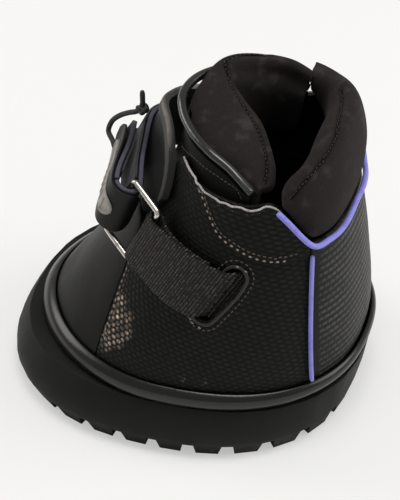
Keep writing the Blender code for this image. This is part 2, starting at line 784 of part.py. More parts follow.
def build_slot(quarter, frame_fabric):
    """Cuts the slot through the near quarter and lays a stitched frame round it."""
    hole = stadium(SLOT_LENGTH, SLOT_WIDTH, 8)
    deep = -PANEL_THICKNESS - CUT_OVERRUN
    rings = [[slot_point(a, b, offset) for a, b in hole] for offset in (deep, CUT_OVERRUN)]
    cutter = loft("slot_cutter", rings, frame_fabric)
    boolean(quarter, cutter, "DIFFERENCE")
    border = 2 * SLOT_FRAME_BORDER
    inner = stadium(SLOT_LENGTH + 2 * GAP, SLOT_WIDTH + 2 * GAP, 8)
    outer = stadium(SLOT_LENGTH + border, SLOT_WIDTH + border, 8)
    rings = []
    for (a, b), (c, d) in zip(inner, outer):
        low, high = GAP, GAP + SLOT_FRAME_THICKNESS
        rings.append([slot_point(a, b, low), slot_point(a, b, high), slot_point(c, d, high), slot_point(c, d, low)])
    loft("slot_frame", rings, frame_fabric, round_trip=True)


def ring_point(ahead, across, out):
    """A point in the wire ring's frame, whose origin is the middle of its rear bar."""
    origin = shell(math.radians(RING_BEARING), ring_height_share * BOOT_HEIGHT, RING_STAND_OFF)
    return origin + ahead * RING_AHEAD + across * RING_ACROSS + out * RING_OUT


def build_ring(nickel):
    """Rectangular loop of round wire with bent corners."""
    length = RING_WINDOW_LENGTH + RING_WIRE
    half = (RING_WINDOW_WIDTH + RING_WIRE) / 2
    corners = ((length, 1, 1), (0.0, 1, -1), (0.0, -1, -1), (length, -1, 1))
    centres = []
    for number, (ahead, side, way) in enumerate(corners):
        for k in range(RING_CORNER_STEPS + 1):
            angle = math.pi / 2 * (number + k / RING_CORNER_STEPS)
            a = ahead - way * RING_CORNER + RING_CORNER * math.cos(angle)
            b = side * (half - RING_CORNER) + RING_CORNER * math.sin(angle)
            centres.append(ring_point(a, b, 0.0))
    return tube("strap_ring", centres, RING_WIRE / 2, 10, nickel, round_trip=True, up=RING_OUT)


def webbing_length():
    """Distance from the slot's middle to the ring's rear bar."""
    return float(np.linalg.norm(ring_point(0.0, 0.0, 0.0) - slot_point(0.0, 0.0, 0.0)))


def webbing_point(place, side, out):
    """A point of the webbing: place forwards from the slot's middle, side across it, out from the upper."""
    bar = webbing_length()
    share = float(np.clip(place / bar, 0, 1))
    point = slot_point(side, place, out + WEBBING_REST)
    apart = ring_point(0.0, side, 0.0) - slot_point(side, bar, WEBBING_REST)
    return point + apart * share if share else point


def webbing_path():
    """Middle line of the webbing as (place, out): in through the slot, round the ring's bar and back."""
    bar = webbing_length()
    half_slot = SLOT_WIDTH / 2
    layer = (WEBBING_THICKNESS + GAP) / 2
    inside = -WEBBING_REST - PANEL_THICKNESS - GAP - WEBBING_THICKNESS / 2
    eye = RING_WIRE / 2 + 2 * GAP + WEBBING_THICKNESS / 2
    leaving = bar - 3 * eye
    places = (-half_slot - WEBBING_TAIL, -half_slot - GAP, -half_slot / 2, half_slot / 2, half_slot + GAP,
              half_slot + SLOT_FRAME_BORDER, leaving, bar)
    outs = (inside, inside, inside * 0.95, inside * 0.2, layer - GAP / 2, layer, layer, eye)
    path = []
    for place in np.concatenate((np.linspace(places[0], places[1], 5), np.linspace(places[1], places[5], 13)[1:],
                                 np.linspace(places[5], places[6], 9)[1:], np.linspace(places[6], places[7], 5)[1:])):
        path.append((place, float(spline(np.array(places), np.array(outs), place))))
    for k in range(1, 8):
        angle = math.pi / 2 - math.pi * k / 8
        path.append((bar + eye * math.cos(angle), eye * math.sin(angle)))
    back = np.linspace(bar, WEBBING_SEAM_START, 14)
    for place in back:
        share = float(np.clip((bar - place) / (bar - leaving), 0, 1))
        share = share * share * (3 - 2 * share)
        path.append((place, -eye * (1 - share) - layer * share))
    return np.array(path)


def build_webbing(nylon):
    """Webbing from inside the quarter through the slot and round the ring's rear bar, sewn to itself."""
    path = webbing_path()
    along = np.gradient(path, axis=0)
    half = WEBBING_WIDTH / 2
    rings = []
    for (place, out), (step_place, step_out) in zip(path, along):
        normal = unit(np.array((-step_out, step_place))) * WEBBING_THICKNESS / 2
        low, high = (place - normal[0], out - normal[1]), (place + normal[0], out + normal[1])
        ring = [webbing_point(low[0], side * half, low[1]) for side in (-1, -0.33, 0.33, 1)]
        ring += [webbing_point(high[0], side * half, high[1]) for side in (1, 0.33, -0.33, -1)]
        rings.append(ring)
    return loft("webbing_strap", rings, nylon)


def curve_through(points, count):
    """Points of a smooth curve through some points, evenly spaced by number."""
    points = np.array(points)
    steps = np.linalg.norm(np.diff(points[:, :3], axis=0), axis=1)
    lengths = np.concatenate(((0,), np.cumsum(steps)))
    places = np.linspace(0, lengths[-1], count)
    return np.array([[spline(lengths, points[:, axis], at) for axis in range(points.shape[1])] for at in places])


def smoothed(rows, rounds):
    """The rows with their sharp turns evened out. The first and last two stay where they are."""
    for _ in range(rounds):
        rows[2:-2] = (rows[1:-3] + 2 * rows[2:-2] + rows[3:-1]) / 4
    return rows


def fold_point(apart, back):
    """A point of the fold: outwards from its middle, and back along its legs from the middle of its bend."""
    bar = ring_point(RING_WINDOW_LENGTH + RING_WIRE, 0.0, 0.0)
    back += FOLD_RADIUS - RING_WIRE / 2 - 2 * GAP - STRAP_THICKNESS / 2
    return bar + apart * FOLD_APART + back * FOLD_BACK


def strap_ribbon():
    """Middle line of the wide closure strap, from its anchor on the far side to its end under the ring."""
    guides, ups = [], []
    for bearing, share, lift in zip(STRAP_BEARINGS, strap_height_shares, strap_lift_shares):
        turn, height = math.radians(bearing), share * BOOT_HEIGHT
        offset = GAP + STRAP_THICKNESS / 2 + lift * STRAP_STAND_OFF
        guides.append(shell(turn, height, offset))
        above = shell(turn, height + STRAP_THICKNESS, offset)
        ups.append(unit(above - shell(turn, height - STRAP_THICKNESS, offset)))
    for number, (share, way) in enumerate(zip(strap_front_shares, STRAP_FRONT_WAYS)):
        place = share * np.array((HALF_WIDTH, HALF_LENGTH, BOOT_HEIGHT)) - np.array((0.0, MIDDLE, 0.0))
        guides.insert(STRAP_FRONT_START + number, place)
        ups.insert(STRAP_FRONT_START + number, unit(way))
    both = smoothed(curve_through(np.hstack((guides, ups)), STRAP_STEPS), SMOOTH_ROUNDS)
    return Ribbon(both[:, :3], both[:, 3:], STRAP_WIDTH)


def leg_ribbon(strap):
    """Middle line of the narrow strap: sewn on the wide one, then through the ring and round its front bar."""
    contact = STRAP_THICKNESS + 2 * GAP
    lower = (STRAP_WIDTH - LEG_WIDTH) / STRAP_WIDTH
    guides, ups = [], []
    for share in leg_seat_shares:
        i = round(share * (STRAP_STEPS - 1))
        guides.append(strap.point(i, -lower, contact))
        ups.append(strap.across[i])
    for share in leg_run_shares:
        guides.append(fold_point(-FOLD_RADIUS, share * FOLD_LENGTH))
        ups.append(FOLD_ACROSS)
    both = smoothed(curve_through(np.hstack((guides, ups)), LEG_STEPS), SMOOTH_ROUNDS)
    centres, across = list(both[:, :3]), list(both[:, 3:])
    for k in range(1, FOLD_STEPS + 1):
        angle = math.pi * (1 - k / FOLD_STEPS)
        if k == FOLD_STEPS:
            angle += GAP / FOLD_RADIUS
        centres.append(fold_point(FOLD_RADIUS * math.cos(angle), -FOLD_RADIUS * math.sin(angle)))
        across.append(FOLD_ACROSS)
    return Ribbon(centres, across, LEG_WIDTH)


def fold_ribbon(leg):
    """Middle line of the folded-back end, from its hinge over the ring's front bar to its free end."""
    contact = STRAP_THICKNESS + 2 * PATCH_THICKNESS + 6 * GAP
    back, across, normals = (row[:LEG_STEPS][::-1] for row in (leg.centres, leg.across, leg.normals))
    distances = np.concatenate(((0,), np.cumsum(np.linalg.norm(np.diff(back, axis=0), axis=1))))
    touching = FOLD_LENGTH - TAB_OVERHANG
    guides = [np.concatenate((fold_point(FOLD_RADIUS, back_off), FOLD_ACROSS)) for back_off in (0.0, FOLD_RADIUS)]
    for share in fold_guide_shares:
        at = share * FOLD_LENGTH
        place, up, normal = (np.array([spline(distances, rows[:, axis], at) for axis in range(3)])
                             for rows in (back, across, normals))
        closed = min(at / touching, 1.0)
        closed = closed * closed * (3 - 2 * closed)
        apart = 2 * FOLD_RADIUS * (1 - closed) + contact * closed
        guides.append(np.concatenate((place + unit(normal) * apart, unit(up))))
    rows = smoothed(curve_through(guides, FOLD_COLUMNS + 1), SMOOTH_ROUNDS)
    rows[0, :3] = fold_point(FOLD_RADIUS, GAP)
    return Ribbon(rows[:, :3], rows[:, 3:], LEG_WIDTH, outwards=-1)


def build_closure(strap, leg, textile, loop, edge, black):
    """The wide strap with its edge binding and anchor patch, and the narrow strap with its loop patch."""
    half = STRAP_THICKNESS / 2
    margin = 2 * PATCH_MARGIN / STRAP_WIDTH
    ends = [0.0] * STRAP_STEPS
    for k, drop in enumerate(strap_end_shares):
        ends[-1 - k] = 2 * drop
    strap.layer("closure_strap", 0, STRAP_STEPS - 1, -half, half, textile, [e / 2 - 1 for e in ends],
                [1 - e for e in ends])
    over = GAP + BINDING_THICKNESS
    shape = ((-BINDING_DEPTH, half + GAP), (-BINDING_DEPTH, half + over), (over, half + over),
             (over, -half), (GAP, -half), (GAP, half + GAP))
    rings = []
    for i in range(BINDING_START, STRAP_STEPS):
        edge_point = strap.point(i, 1 - ends[i], 0.0)
        rings.append([edge_point + strap.across[i] * a + strap.normals[i] * b for a, b in shape])
    loft("closure_strap_binding", rings, edge)
    low = half + GAP
    strap.layer("strap_anchor", 0, 6, low, low + PATCH_THICKNESS, black, margin - 1, 1 - margin)
    leg.layer("fastening_strap", 0, LEG_STEPS + FOLD_STEPS - 1, -half, half, textile)
    margin = 2 * PATCH_MARGIN / LEG_WIDTH
    leg.layer("loop_patch", 1, LEG_STEPS - 3, low, low + PATCH_THICKNESS, loop, margin - 1, 1 - margin)


def build_fold(fold, textile, hook, rubber, silver):
    """The folded-back end with its hook pad, its moulded tab and the ribbed plate on the tab."""
    half = STRAP_THICKNESS / 2
    margin = 2 * PATCH_MARGIN / LEG_WIDTH
    last = FOLD_COLUMNS
    pieces = [fold.layer("fold_back", 0, last, -half, half, textile)]
    inner = -half - GAP
    pieces.append(fold.layer("hook_pad", 3, last - 1, inner - PATCH_THICKNESS, inner, hook, margin - 1, 1 - margin))
    low = half + GAP
    pieces.append(fold.layer("grip_tab", 2, last, low, low + TAB_THICKNESS, rubber, 2 * margin - 1, 1 - 2 * margin))
    low += TAB_THICKNESS + GAP
    side = PLATE_WIDTH / LEG_WIDTH
    low_side, high_side = plate_side_share - side, plate_side_share + side
    pieces.append(fold.layer("grip_plate", 3, last - 2, low, low + PLATE_THICKNESS, silver, low_side, high_side))
    return pieces


def cord_curve(name, guides, material):
    """A round cord along a smooth curve through some points."""
    length = np.linalg.norm(np.diff(guides, axis=0), axis=1).sum()
    count = max(int(length / (CORD_STEP_DIAMETERS * CORD_DIAMETER)), 3) + 1
    curve = bpy.data.curves.new(name, "CURVE")
    curve.dimensions = "3D"
    curve.bevel_depth = CORD_DIAMETER / 2
    curve.bevel_resolution = 2
    curve.use_fill_caps = True
    path = curve.splines.new("POLY")
    points = curve_through(guides, count)
    path.points.add(len(points) - 1)
    for point, place in zip(path.points, points):
        point.co = (*place, 1.0)
    curve.materials.append(material)
    obj = bpy.data.objects.new(name, curve)
    bpy.context.scene.collection.objects.link(obj)
    return obj


def build_cord(fold, black):
    """Pull cord from the tab's end to its knot, the knot, and the cord's short free end."""
    out = STRAP_THICKNESS / 2 + GAP + TAB_THICKNESS / 2
    last = fold.point(FOLD_COLUMNS, CORD_SIDE / (LEG_WIDTH / 2), out)
    along = np.cross(fold.normals[-1], fold.across[-1])
    frame = np.array((fold.across[-1], fold.normals[-1], along))
    loop_route, knot_place, tail_route = (
        last + 2 * along * GAP + route @ frame for route in (CORD_ROUTE, KNOT_PLACE, TAIL_ROUTE)
    )
    loop = cord_curve("pull_cord", loop_route, black)
    tail = cord_curve("cord_tail", tail_route, black)
    mesh = bpy.data.meshes.new("cord_knot")
    work = bmesh.new()
    bmesh.ops.create_uvsphere(work, u_segments=14, v_segments=10, radius=KNOT_RADIUS)
    bmesh.ops.scale(work, vec=knot_shares, verts=work.verts)
    bmesh.ops.translate(work, vec=tuple(knot_place), verts=work.verts)
    work.to_mesh(mesh)
    work.free()
    knot = add_object("cord_knot", mesh, black)
    return [loop, tail, knot]


def tongue_lines(columns):
    """Base, roll and lip lines of the tongue from the near wing's end to the far wing's."""
    scale, middle = np.array((HALF_WIDTH, HALF_LENGTH, BOOT_HEIGHT)), np.array((0.0, MIDDLE, 0.0))
    roll = curve_through(tongue_roll_shares * scale - middle, columns + 1)
    lip = curve_through(tongue_lip_shares * scale - middle, columns + 1)
    base = []
    depth = -PANEL_THICKNESS - TONGUE_CLEARANCE - TONGUE_SHELL_THICKNESS / 2
    for k in range(columns + 1):
        share = k / columns
        bearing = math.radians(float(np.interp(share, TONGUE_STOPS, TONGUE_BEARINGS)))
        height = float(np.interp(abs(bearing), (0, math.pi / 2), tongue_base_shares)) * BOOT_HEIGHT
        base.append(shell(bearing, height, depth))
    return np.array(base), roll, lip


def kept_inside(point, depth):
    """The point, moved inwards if needed so that it lies at least a depth inside the upper's surface."""
    sizes, lean = upper_section(point[2])
    centre = np.array((lean, sizes[3] - MIDDLE))
    arm = point[:2] - centre
    bearing = math.atan2(arm[0], -arm[1])
    limit = shell(bearing, point[2], -depth)[:2] - centre
    share = min(1.0, float(np.linalg.norm(limit) / np.linalg.norm(arm)))
    return np.array((*(centre + arm * share), point[2]))


def build_tongue(neoprene, facing, shiny):
    """Tongue: a facing on its outer side, a rounded roll along the facing's top, and the padded body."""
    columns = TONGUE_COLUMNS
    base, roll, lip = tongue_lines(columns)
    around = np.gradient(roll, axis=0)
    half = TONGUE_SHELL_THICKNESS / 2
    outer, inner, rings = [], [], []
    depth = PANEL_THICKNESS + TONGUE_CLEARANCE
    for k in range(columns + 1):
        rise = unit(roll[k] - base[k])
        inwards = unit(np.cross(around[k], rise))
        reach = lip[k] - roll[k]
        lean = unit(np.cross(around[k], reach + rise * TONGUE_PAD_THICKNESS))
        top = roll[k] - rise * (TONGUE_ROLL_RADIUS + 2 * GAP)
        line = [base[k] + (top - base[k]) * j / 6 for j in range(7)]
        line = [kept_inside(place, depth + half) for place in line]
        outer.append([place - inwards * half for place in line])
        inner.append([place + inwards * half for place in line])
        away = TONGUE_ROLL_RADIUS + 4 * GAP
        thick, lip_thick = TONGUE_PAD_THICKNESS, TONGUE_LIP_THICKNESS
        ends = math.sin(math.pi * np.clip(k / columns, 0.04, 0.96)) ** 0.35
        thick *= ends
        middle = (inwards + lean) / 2
        guide = [
            line[0] + inwards * (half + 3 * GAP),
            line[2] + inwards * (half + 3 * GAP),
            line[4] + inwards * (half + 3 * GAP),
            line[6] + inwards * (half + 4 * GAP),
            roll[k] + middle * away,
            roll[k] + reach * 0.4 - lean * away * 0.2,
            roll[k] + reach * 0.8 - lean * away * 0.1,
            lip[k] + lean * lip_thick * 0.5,
            roll[k] + reach * 0.85 + lean * lip_thick,
            roll[k] + reach * 0.4 + lean * thick,
            roll[k] + middle * (away + thick),
            line[4] + inwards * (half + thick + 3 * GAP),
            line[1] + inwards * (thick + 2 * GAP),
        ]
        rings.append(closed_curve(guide, 22))
    return [
        slab("tongue_shell", outer, inner, facing),
        tube("tongue_edge_roll", roll, TONGUE_ROLL_RADIUS, 8, shiny, up=(0, 0, 1)),
        loft("tongue_pad", rings, neoprene),
    ]


def closed_curve(points, count):
    """Evenly numbered points of a smooth closed curve through some points."""
    points = np.array(points)
    wrapped = np.vstack((points[-3:], points, points[:4]))
    numbers = np.arange(-3, len(points) + 4, dtype=float)
    places = [len(points) * k / count for k in range(count)]
    return [np.array([spline(numbers, wrapped[:, axis], at) for axis in range(3)]) for at in places]


def empty_at(name, place):
    """An empty on a joint's axis."""
    empty = bpy.data.objects.new(name, None)
    empty.location = place
    bpy.context.scene.collection.objects.link(empty)
    return empty


def hang(pieces, empty):
    """Parents pieces to an empty on their joint's axis, without moving them."""
    for piece in pieces:
        piece.parent = empty
        piece.matrix_parent_inverse.translation = -empty.location


def main():
    clear_scene()
    rubber = finish("rubber", (0.020, 0.020, 0.021), 0.55)
    smooth = finish("smooth_panel", (0.022, 0.022, 0.024), 0.45)
    coated = finish("coated_fabric", (0.024, 0.024, 0.026), 0.5)
    ribbed = finish("heel_fabric", (0.05, 0.05, 0.055), 0.5)
    piping = finish("piping", (0.25, 0.25, 0.75), 0.6)
    neoprene = finish("neoprene", (0.03, 0.026, 0.025), 0.9)
    board = finish("board", (0.2, 0.15, 0.1), 0.8)
    foam = finish("foam", (0.03, 0.03, 0.03), 0.9)
    fabric = finish("lining", (0.03, 0.03, 0.03), 0.9)
    stiff = finish("counter", (0.1, 0.1, 0.1), 0.5)
    nickel = finish("nickel", (0.7, 0.7, 0.68), 0.25, 1.0)
    nylon = finish("nylon", (0.03, 0.03, 0.03), 0.8)
    textile = finish("strap_fabric", (0.025, 0.025, 0.028), 0.7)
    edge = finish("edge_binding", (0.45, 0.43, 0.42), 0.7)
    silver = finish("silver_rubber", (0.45, 0.44, 0.42), 0.5)
    build_outsole(rubber)
    build_band(rubber)
    build_insides(board, foam, fabric, stiff)
    near = build_panels(smooth, coated, ribbed)
    build_pipings(piping)
    build_collar_pad(neoprene)
    build_slot(near, nylon)
    build_webbing(nylon)
    ring = build_ring(nickel)
    strap = strap_ribbon()
    leg = leg_ribbon(strap)
    build_closure(strap, leg, textile, fabric, edge, coated)
    fold = fold_ribbon(leg)
    moving = build_fold(fold, textile, fabric, rubber, silver) + build_cord(fold, nylon)
    tongue = build_tongue(neoprene, smooth, rubber)
    hinge = fold_point(FOLD_RADIUS + STRAP_THICKNESS / 2, 0.0)
    hang(moving, empty_at("tab_hinge", hinge))
    hang([ring], empty_at("ring_hinge", ring_point(0.0, 0.0, 0.0)))
    tongue_hinge = shell(0.0, tongue_base_shares[0] * BOOT_HEIGHT, -PANEL_THICKNESS - TONGUE_CLEARANCE)
    hang(tongue, empty_at("tongue_hinge", tongue_hinge))


main()
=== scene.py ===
"""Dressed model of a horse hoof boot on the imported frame: sole, upper, collar, tongue, straps and cord."""

import json
import logging
import math
from collections.abc import Callable, Iterable, Iterator, Sequence
from contextlib import contextmanager
from dataclasses import dataclass, field
from enum import Enum

import bmesh
import bpy
import numpy as np
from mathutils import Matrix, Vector, noise
from mathutils.bvhtree import BVHTree


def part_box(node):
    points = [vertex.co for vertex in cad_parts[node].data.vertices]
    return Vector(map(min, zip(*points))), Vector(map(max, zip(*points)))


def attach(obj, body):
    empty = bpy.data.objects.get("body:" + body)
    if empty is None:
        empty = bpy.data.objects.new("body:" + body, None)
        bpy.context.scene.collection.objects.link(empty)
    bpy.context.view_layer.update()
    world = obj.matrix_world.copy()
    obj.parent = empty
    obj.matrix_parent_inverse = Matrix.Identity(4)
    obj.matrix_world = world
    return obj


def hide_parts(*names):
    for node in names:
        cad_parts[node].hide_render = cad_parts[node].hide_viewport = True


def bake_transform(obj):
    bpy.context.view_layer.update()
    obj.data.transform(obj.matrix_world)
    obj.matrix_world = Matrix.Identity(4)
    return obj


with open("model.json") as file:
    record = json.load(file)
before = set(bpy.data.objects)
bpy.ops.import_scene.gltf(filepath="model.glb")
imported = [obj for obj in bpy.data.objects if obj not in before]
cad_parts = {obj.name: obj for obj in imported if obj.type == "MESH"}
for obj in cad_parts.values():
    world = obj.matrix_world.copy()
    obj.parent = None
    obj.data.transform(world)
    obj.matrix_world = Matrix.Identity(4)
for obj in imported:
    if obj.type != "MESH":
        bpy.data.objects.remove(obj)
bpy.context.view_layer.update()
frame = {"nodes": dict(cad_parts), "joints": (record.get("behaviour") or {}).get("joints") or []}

logging.basicConfig(level=logging.INFO, format="%(message)s")
log = logging.getLogger("hoof_boot")

MM = 0.001
TURN = 2 * math.pi

# The picture's size and focal length in its own pixels, and where its camera stood.
PHOTO_WIDTH, PHOTO_HEIGHT = 400, 500
FOCAL_PIXELS = 1885.27
SENSOR = 36.0
CAMERA_PLACE = Vector((0.62072, 0.21005, 0.59540))
CAMERA_TARGET = Vector((-0.00423, 0.00037, 0.054))

# The fold's directions: across the strap, off the boot, and back along the strap's legs.
FOLD_ACROSS = Vector((0.00501374, 0.36098957, 0.93255638))
STRAP_AHEAD = Vector((-0.945, -0.310, 0.090))
APART = FOLD_ACROSS.cross(STRAP_AHEAD).normalized()
BACK = APART.cross(FOLD_ACROSS)
RING_ACROSS = Vector((-0.04395648, 0.4375668, 0.89811086))

# Where the upper's upright axis stands along the boot's length, and the cloth simulation's frames.
AXIS_Y = 5 * MM
CLOTH_FRAMES = 20

Points = np.ndarray


class Body(Enum):
    """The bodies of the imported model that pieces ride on."""

    BOOT = "boot"
    TAB = "tab"
    RING = "ring"
    TONGUE = "tongue"


class Side(Enum):
    """The boot's two sides: the near one has the ring and the slot."""

    NEAR = 1
    FAR = -1

    @property
    def word(self) -> str:
        """The side's name as it stands in the names of pieces."""
        return self.name.lower()


def operator(kind: str, flipped: bool = False) -> Callable[["Level", "Level | float"], "Level"]:
    """An operator method that adds one Math node.

    Args:
        kind: the Math node's operation.
        flipped: whether the other value comes first.

    Returns:
        The method.
    """

    def method(self: "Level", other: "Level | float") -> "Level":
        """The Math node's result for this value and the other one."""
        return self.shader.math(kind, *((other, self) if flipped else (self, other)))

    return method


class Level:
    """A shader socket that takes part in sums as a number does."""

    def __init__(self, shader: "Shader", socket: bpy.types.NodeSocket) -> None:
        """Keeps the socket and the shader that it belongs to."""
        self.shader = shader
        self.socket = socket

    __add__ = __radd__ = operator("ADD")
    __sub__, __rsub__ = operator("SUBTRACT"), operator("SUBTRACT", True)
    __mul__ = __rmul__ = operator("MULTIPLY")
    __truediv__, __pow__ = operator("DIVIDE"), operator("POWER")

    def __abs__(self) -> "Level":
        """The size of this value."""
        return self.shader.math("ABSOLUTE", self)


class Shader:
    """Builds the nodes of one material, or of the world."""

    def __init__(self, name: str, owner: bpy.types.World | None = None) -> None:
        """Starts an empty material, or empties the world's nodes.

        Args:
            name: the material's name.
            owner: the world, where the nodes are the world's.
        """
        self.material = owner or bpy.data.materials.new(name)
        self.material.use_nodes = True
        self.tree = self.material.node_tree
        self.tree.nodes.clear()

    def node(self, kind: str, settings: dict | None = None, inputs: dict | None = None) -> bpy.types.Node:
        """Adds a node.

        Args:
            kind: the node's type.
            settings: its own settings, which are made first.
            inputs: values or links of its sockets, by name or place.

        Returns:
            The node.
        """
        made = self.tree.nodes.new(kind)
        for key, value in (settings or {}).items():
            setattr(made, key, value)
        for key, value in (inputs or {}).items():
            socket = made.inputs[key] if isinstance(key, int) else self._named(made, key)
            if isinstance(value, Level):
                self.tree.links.new(value.socket, socket)
            elif isinstance(value, bpy.types.NodeSocket):
                self.tree.links.new(value, socket)
            else:
                socket.default_value = value
        return made

    @staticmethod
    def _named(made: bpy.types.Node, key: str) -> bpy.types.NodeSocket:
        """The input with that identifier, or else that name."""
        for socket in made.inputs:
            if socket.identifier == key:
                return socket
        return made.inputs[key]

    def math(self, operation: str, *values: Level | float) -> Level:
        """One Math node's result."""
        made = self.node("ShaderNodeMath", {"operation": operation}, dict(enumerate(values)))
        return Level(self, made.outputs[0])

    def wave(self, value: Level, length: float) -> Level:
        """A sine of that wavelength, from -1 to 1."""
        return self.math("SINE", value * (TURN / length))

    def vector(self, operation: str, *values: object) -> bpy.types.NodeSocket:
        """One Vector Math node's vector."""
        made = self.node("ShaderNodeVectorMath", {"operation": operation}, dict(enumerate(values)))
        return made.outputs["Vector"]

    def length(self, vector: bpy.types.NodeSocket) -> Level:
        """A vector's length."""
        made = self.node("ShaderNodeVectorMath", {"operation": "LENGTH"}, {0: vector})
        return Level(self, made.outputs["Value"])

    def places(self) -> bpy.types.NodeSocket:
        """Object coordinates."""
        return self.node("ShaderNodeTexCoord").outputs["Object"]

    def laid(self) -> bpy.types.NodeSocket:
        """The piece's own cloth coordinates, in metres along and across the cloth."""
        return self.node("ShaderNodeAttribute", {"attribute_name": "cloth"}).outputs["Vector"]

    def mask(self, name: str) -> Level:
        """A number that the piece carries at each point."""
        return Level(self, self.node("ShaderNodeAttribute", {"attribute_name": name}).outputs["Fac"])

    def parts(self, vector: bpy.types.NodeSocket) -> tuple[Level, Level, Level]:
        """A vector's three numbers."""
        made = self.node("ShaderNodeSeparateXYZ", None, {0: vector})
        return tuple(Level(self, made.outputs[k]) for k in range(3))

    def noise(self, vector: bpy.types.NodeSocket, size: float, detail: float = 3.0) -> Level:
        """Noise whose lumps have about that size in metres."""
        made = self.node("ShaderNodeTexNoise", None, {"Vector": vector, "Scale": 1 / size, "Detail": detail})
        return Level(self, made.outputs["Fac"])

    def between(self, value: Level, low: float, high: float) -> Level:
        """0 below low, 1 above high and smooth between."""
        made = self.node(
            "ShaderNodeMapRange",
            {"interpolation_type": "SMOOTHSTEP"},
            {"Value": value, "From Min": low, "From Max": high},
        )
        return Level(self, made.outputs["Result"])

    def blend(self, share: Level | float, low: object, high: object) -> bpy.types.NodeSocket:
        """A colour between two colours."""
        made = self.node(
            "ShaderNodeMix",
            {"data_type": "RGBA"},
            {"Factor_Float": share, "A_Color": opaque(low), "B_Color": opaque(high)},
        )
        return made.outputs[2]

    def bump(self, height: Level, distance: float, strength: float = 1.0) -> bpy.types.NodeSocket:
        """A normal for a height from 0 to 1 that stands for a distance in metres."""
        given = {"Height": height, "Distance": distance, "Strength": strength}
        made = self.node("ShaderNodeBump", None, given)
        return made.outputs["Normal"]

    def surface(self, **inputs: object) -> bpy.types.Material:
        """Ends the material in a Principled BSDF.

        Args:
            inputs: values or links of its sockets, with low lines for the spaces in their names.

        Returns:
            The material.
        """
        named = {key.replace("_", " "): value for key, value in inputs.items()}
        if "Base Color" in named:
            named["Base Color"] = opaque(named["Base Color"])
        made = self.node("ShaderNodeBsdfPrincipled", None, named)
        self.node("ShaderNodeOutputMaterial", None, {"Surface": made.outputs[0]})
        return self.material


def opaque(colour: object) -> object:
    """A colour's four numbers, or the socket as it is."""
    return (*colour, 1.0) if isinstance(colour, tuple) and len(colour) == 3 else colour


@dataclass(frozen=True)
class Finish:
    """A finish of the boot. Each kind paints its own nodes."""

    name: str
    slot: str
    colour: tuple[float, float, float]
    roughness: float

    def paint(self, shader: Shader) -> bpy.types.Material:
        """Makes the nodes of this finish."""
        raise NotImplementedError

    def tone(self, factor: float, lift: float = 0.0) -> tuple[float, ...]:
        """The finish's colour made lighter or darker."""
        return tuple(c * factor + lift for c in self.colour)

    def material(self) -> bpy.types.Material:
        """The finish's material, made once."""
        return bpy.data.materials.get(self.name) or self.paint(Shader(self.name))


@dataclass(frozen=True)
class MouldedRubber(Finish):
    """Moulded black rubber with a fine grain, a dull bloom and dust low down on the tread."""

    grain: float = 0.7 * MM
    dust: float = 0.5
    gloss: float = 0.22

    def paint(self, shader: Shader) -> bpy.types.Material:
        """Makes the rubber's nodes."""
        place = shader.places()
        _, _, height = shader.parts(place)
        grain = shader.noise(place, self.grain, 4)
        bloom = shader.between(shader.noise(place, 22 * MM, 5), 0.42, 0.72)
        scuffs = shader.between(shader.noise(place, 2.2 * MM, 6), 0.56, 0.72)
        low = 1 - shader.between(height, 1 * MM, 9 * MM)
        dusty = low * scuffs * self.dust
        worn = shader.blend(bloom * 0.45, self.colour, self.tone(1.9, 0.002))
        return shader.surface(
            Base_Color=shader.blend(dusty, worn, (0.10, 0.09, 0.075)),
            Roughness=self.roughness + bloom * 0.12 + dusty * 0.3 + grain * 0.06,
            Normal=shader.bump(grain + scuffs * 0.4, 0.06 * MM, 0.6),
            Specular_IOR_Level=self.gloss,
        )


@dataclass(frozen=True)
class SatinCloth(Finish):
    """Smooth coated satin with a very fine weave and soft dents."""

    thread: float = 0.42 * MM

    def paint(self, shader: Shader) -> bpy.types.Material:
        """Makes the satin's nodes."""
        place = shader.laid()
        along, across, _ = shader.parts(place)
        warp = shader.wave(along, self.thread)
        weft = shader.wave(across, self.thread)
        dents = shader.noise(shader.places(), 11 * MM, 2)
        rubbed = shader.between(shader.noise(shader.places(), 26 * MM, 5), 0.45, 0.7)
        height = dents * 6 + warp * weft * 0.25
        return shader.surface(
            Base_Color=shader.blend(rubbed, self.colour, self.tone(1.6)),
            Roughness=self.roughness + rubbed * 0.08,
            Normal=shader.bump(height, 0.07 * MM, 0.5),
            Specular_IOR_Level=0.14,
        )


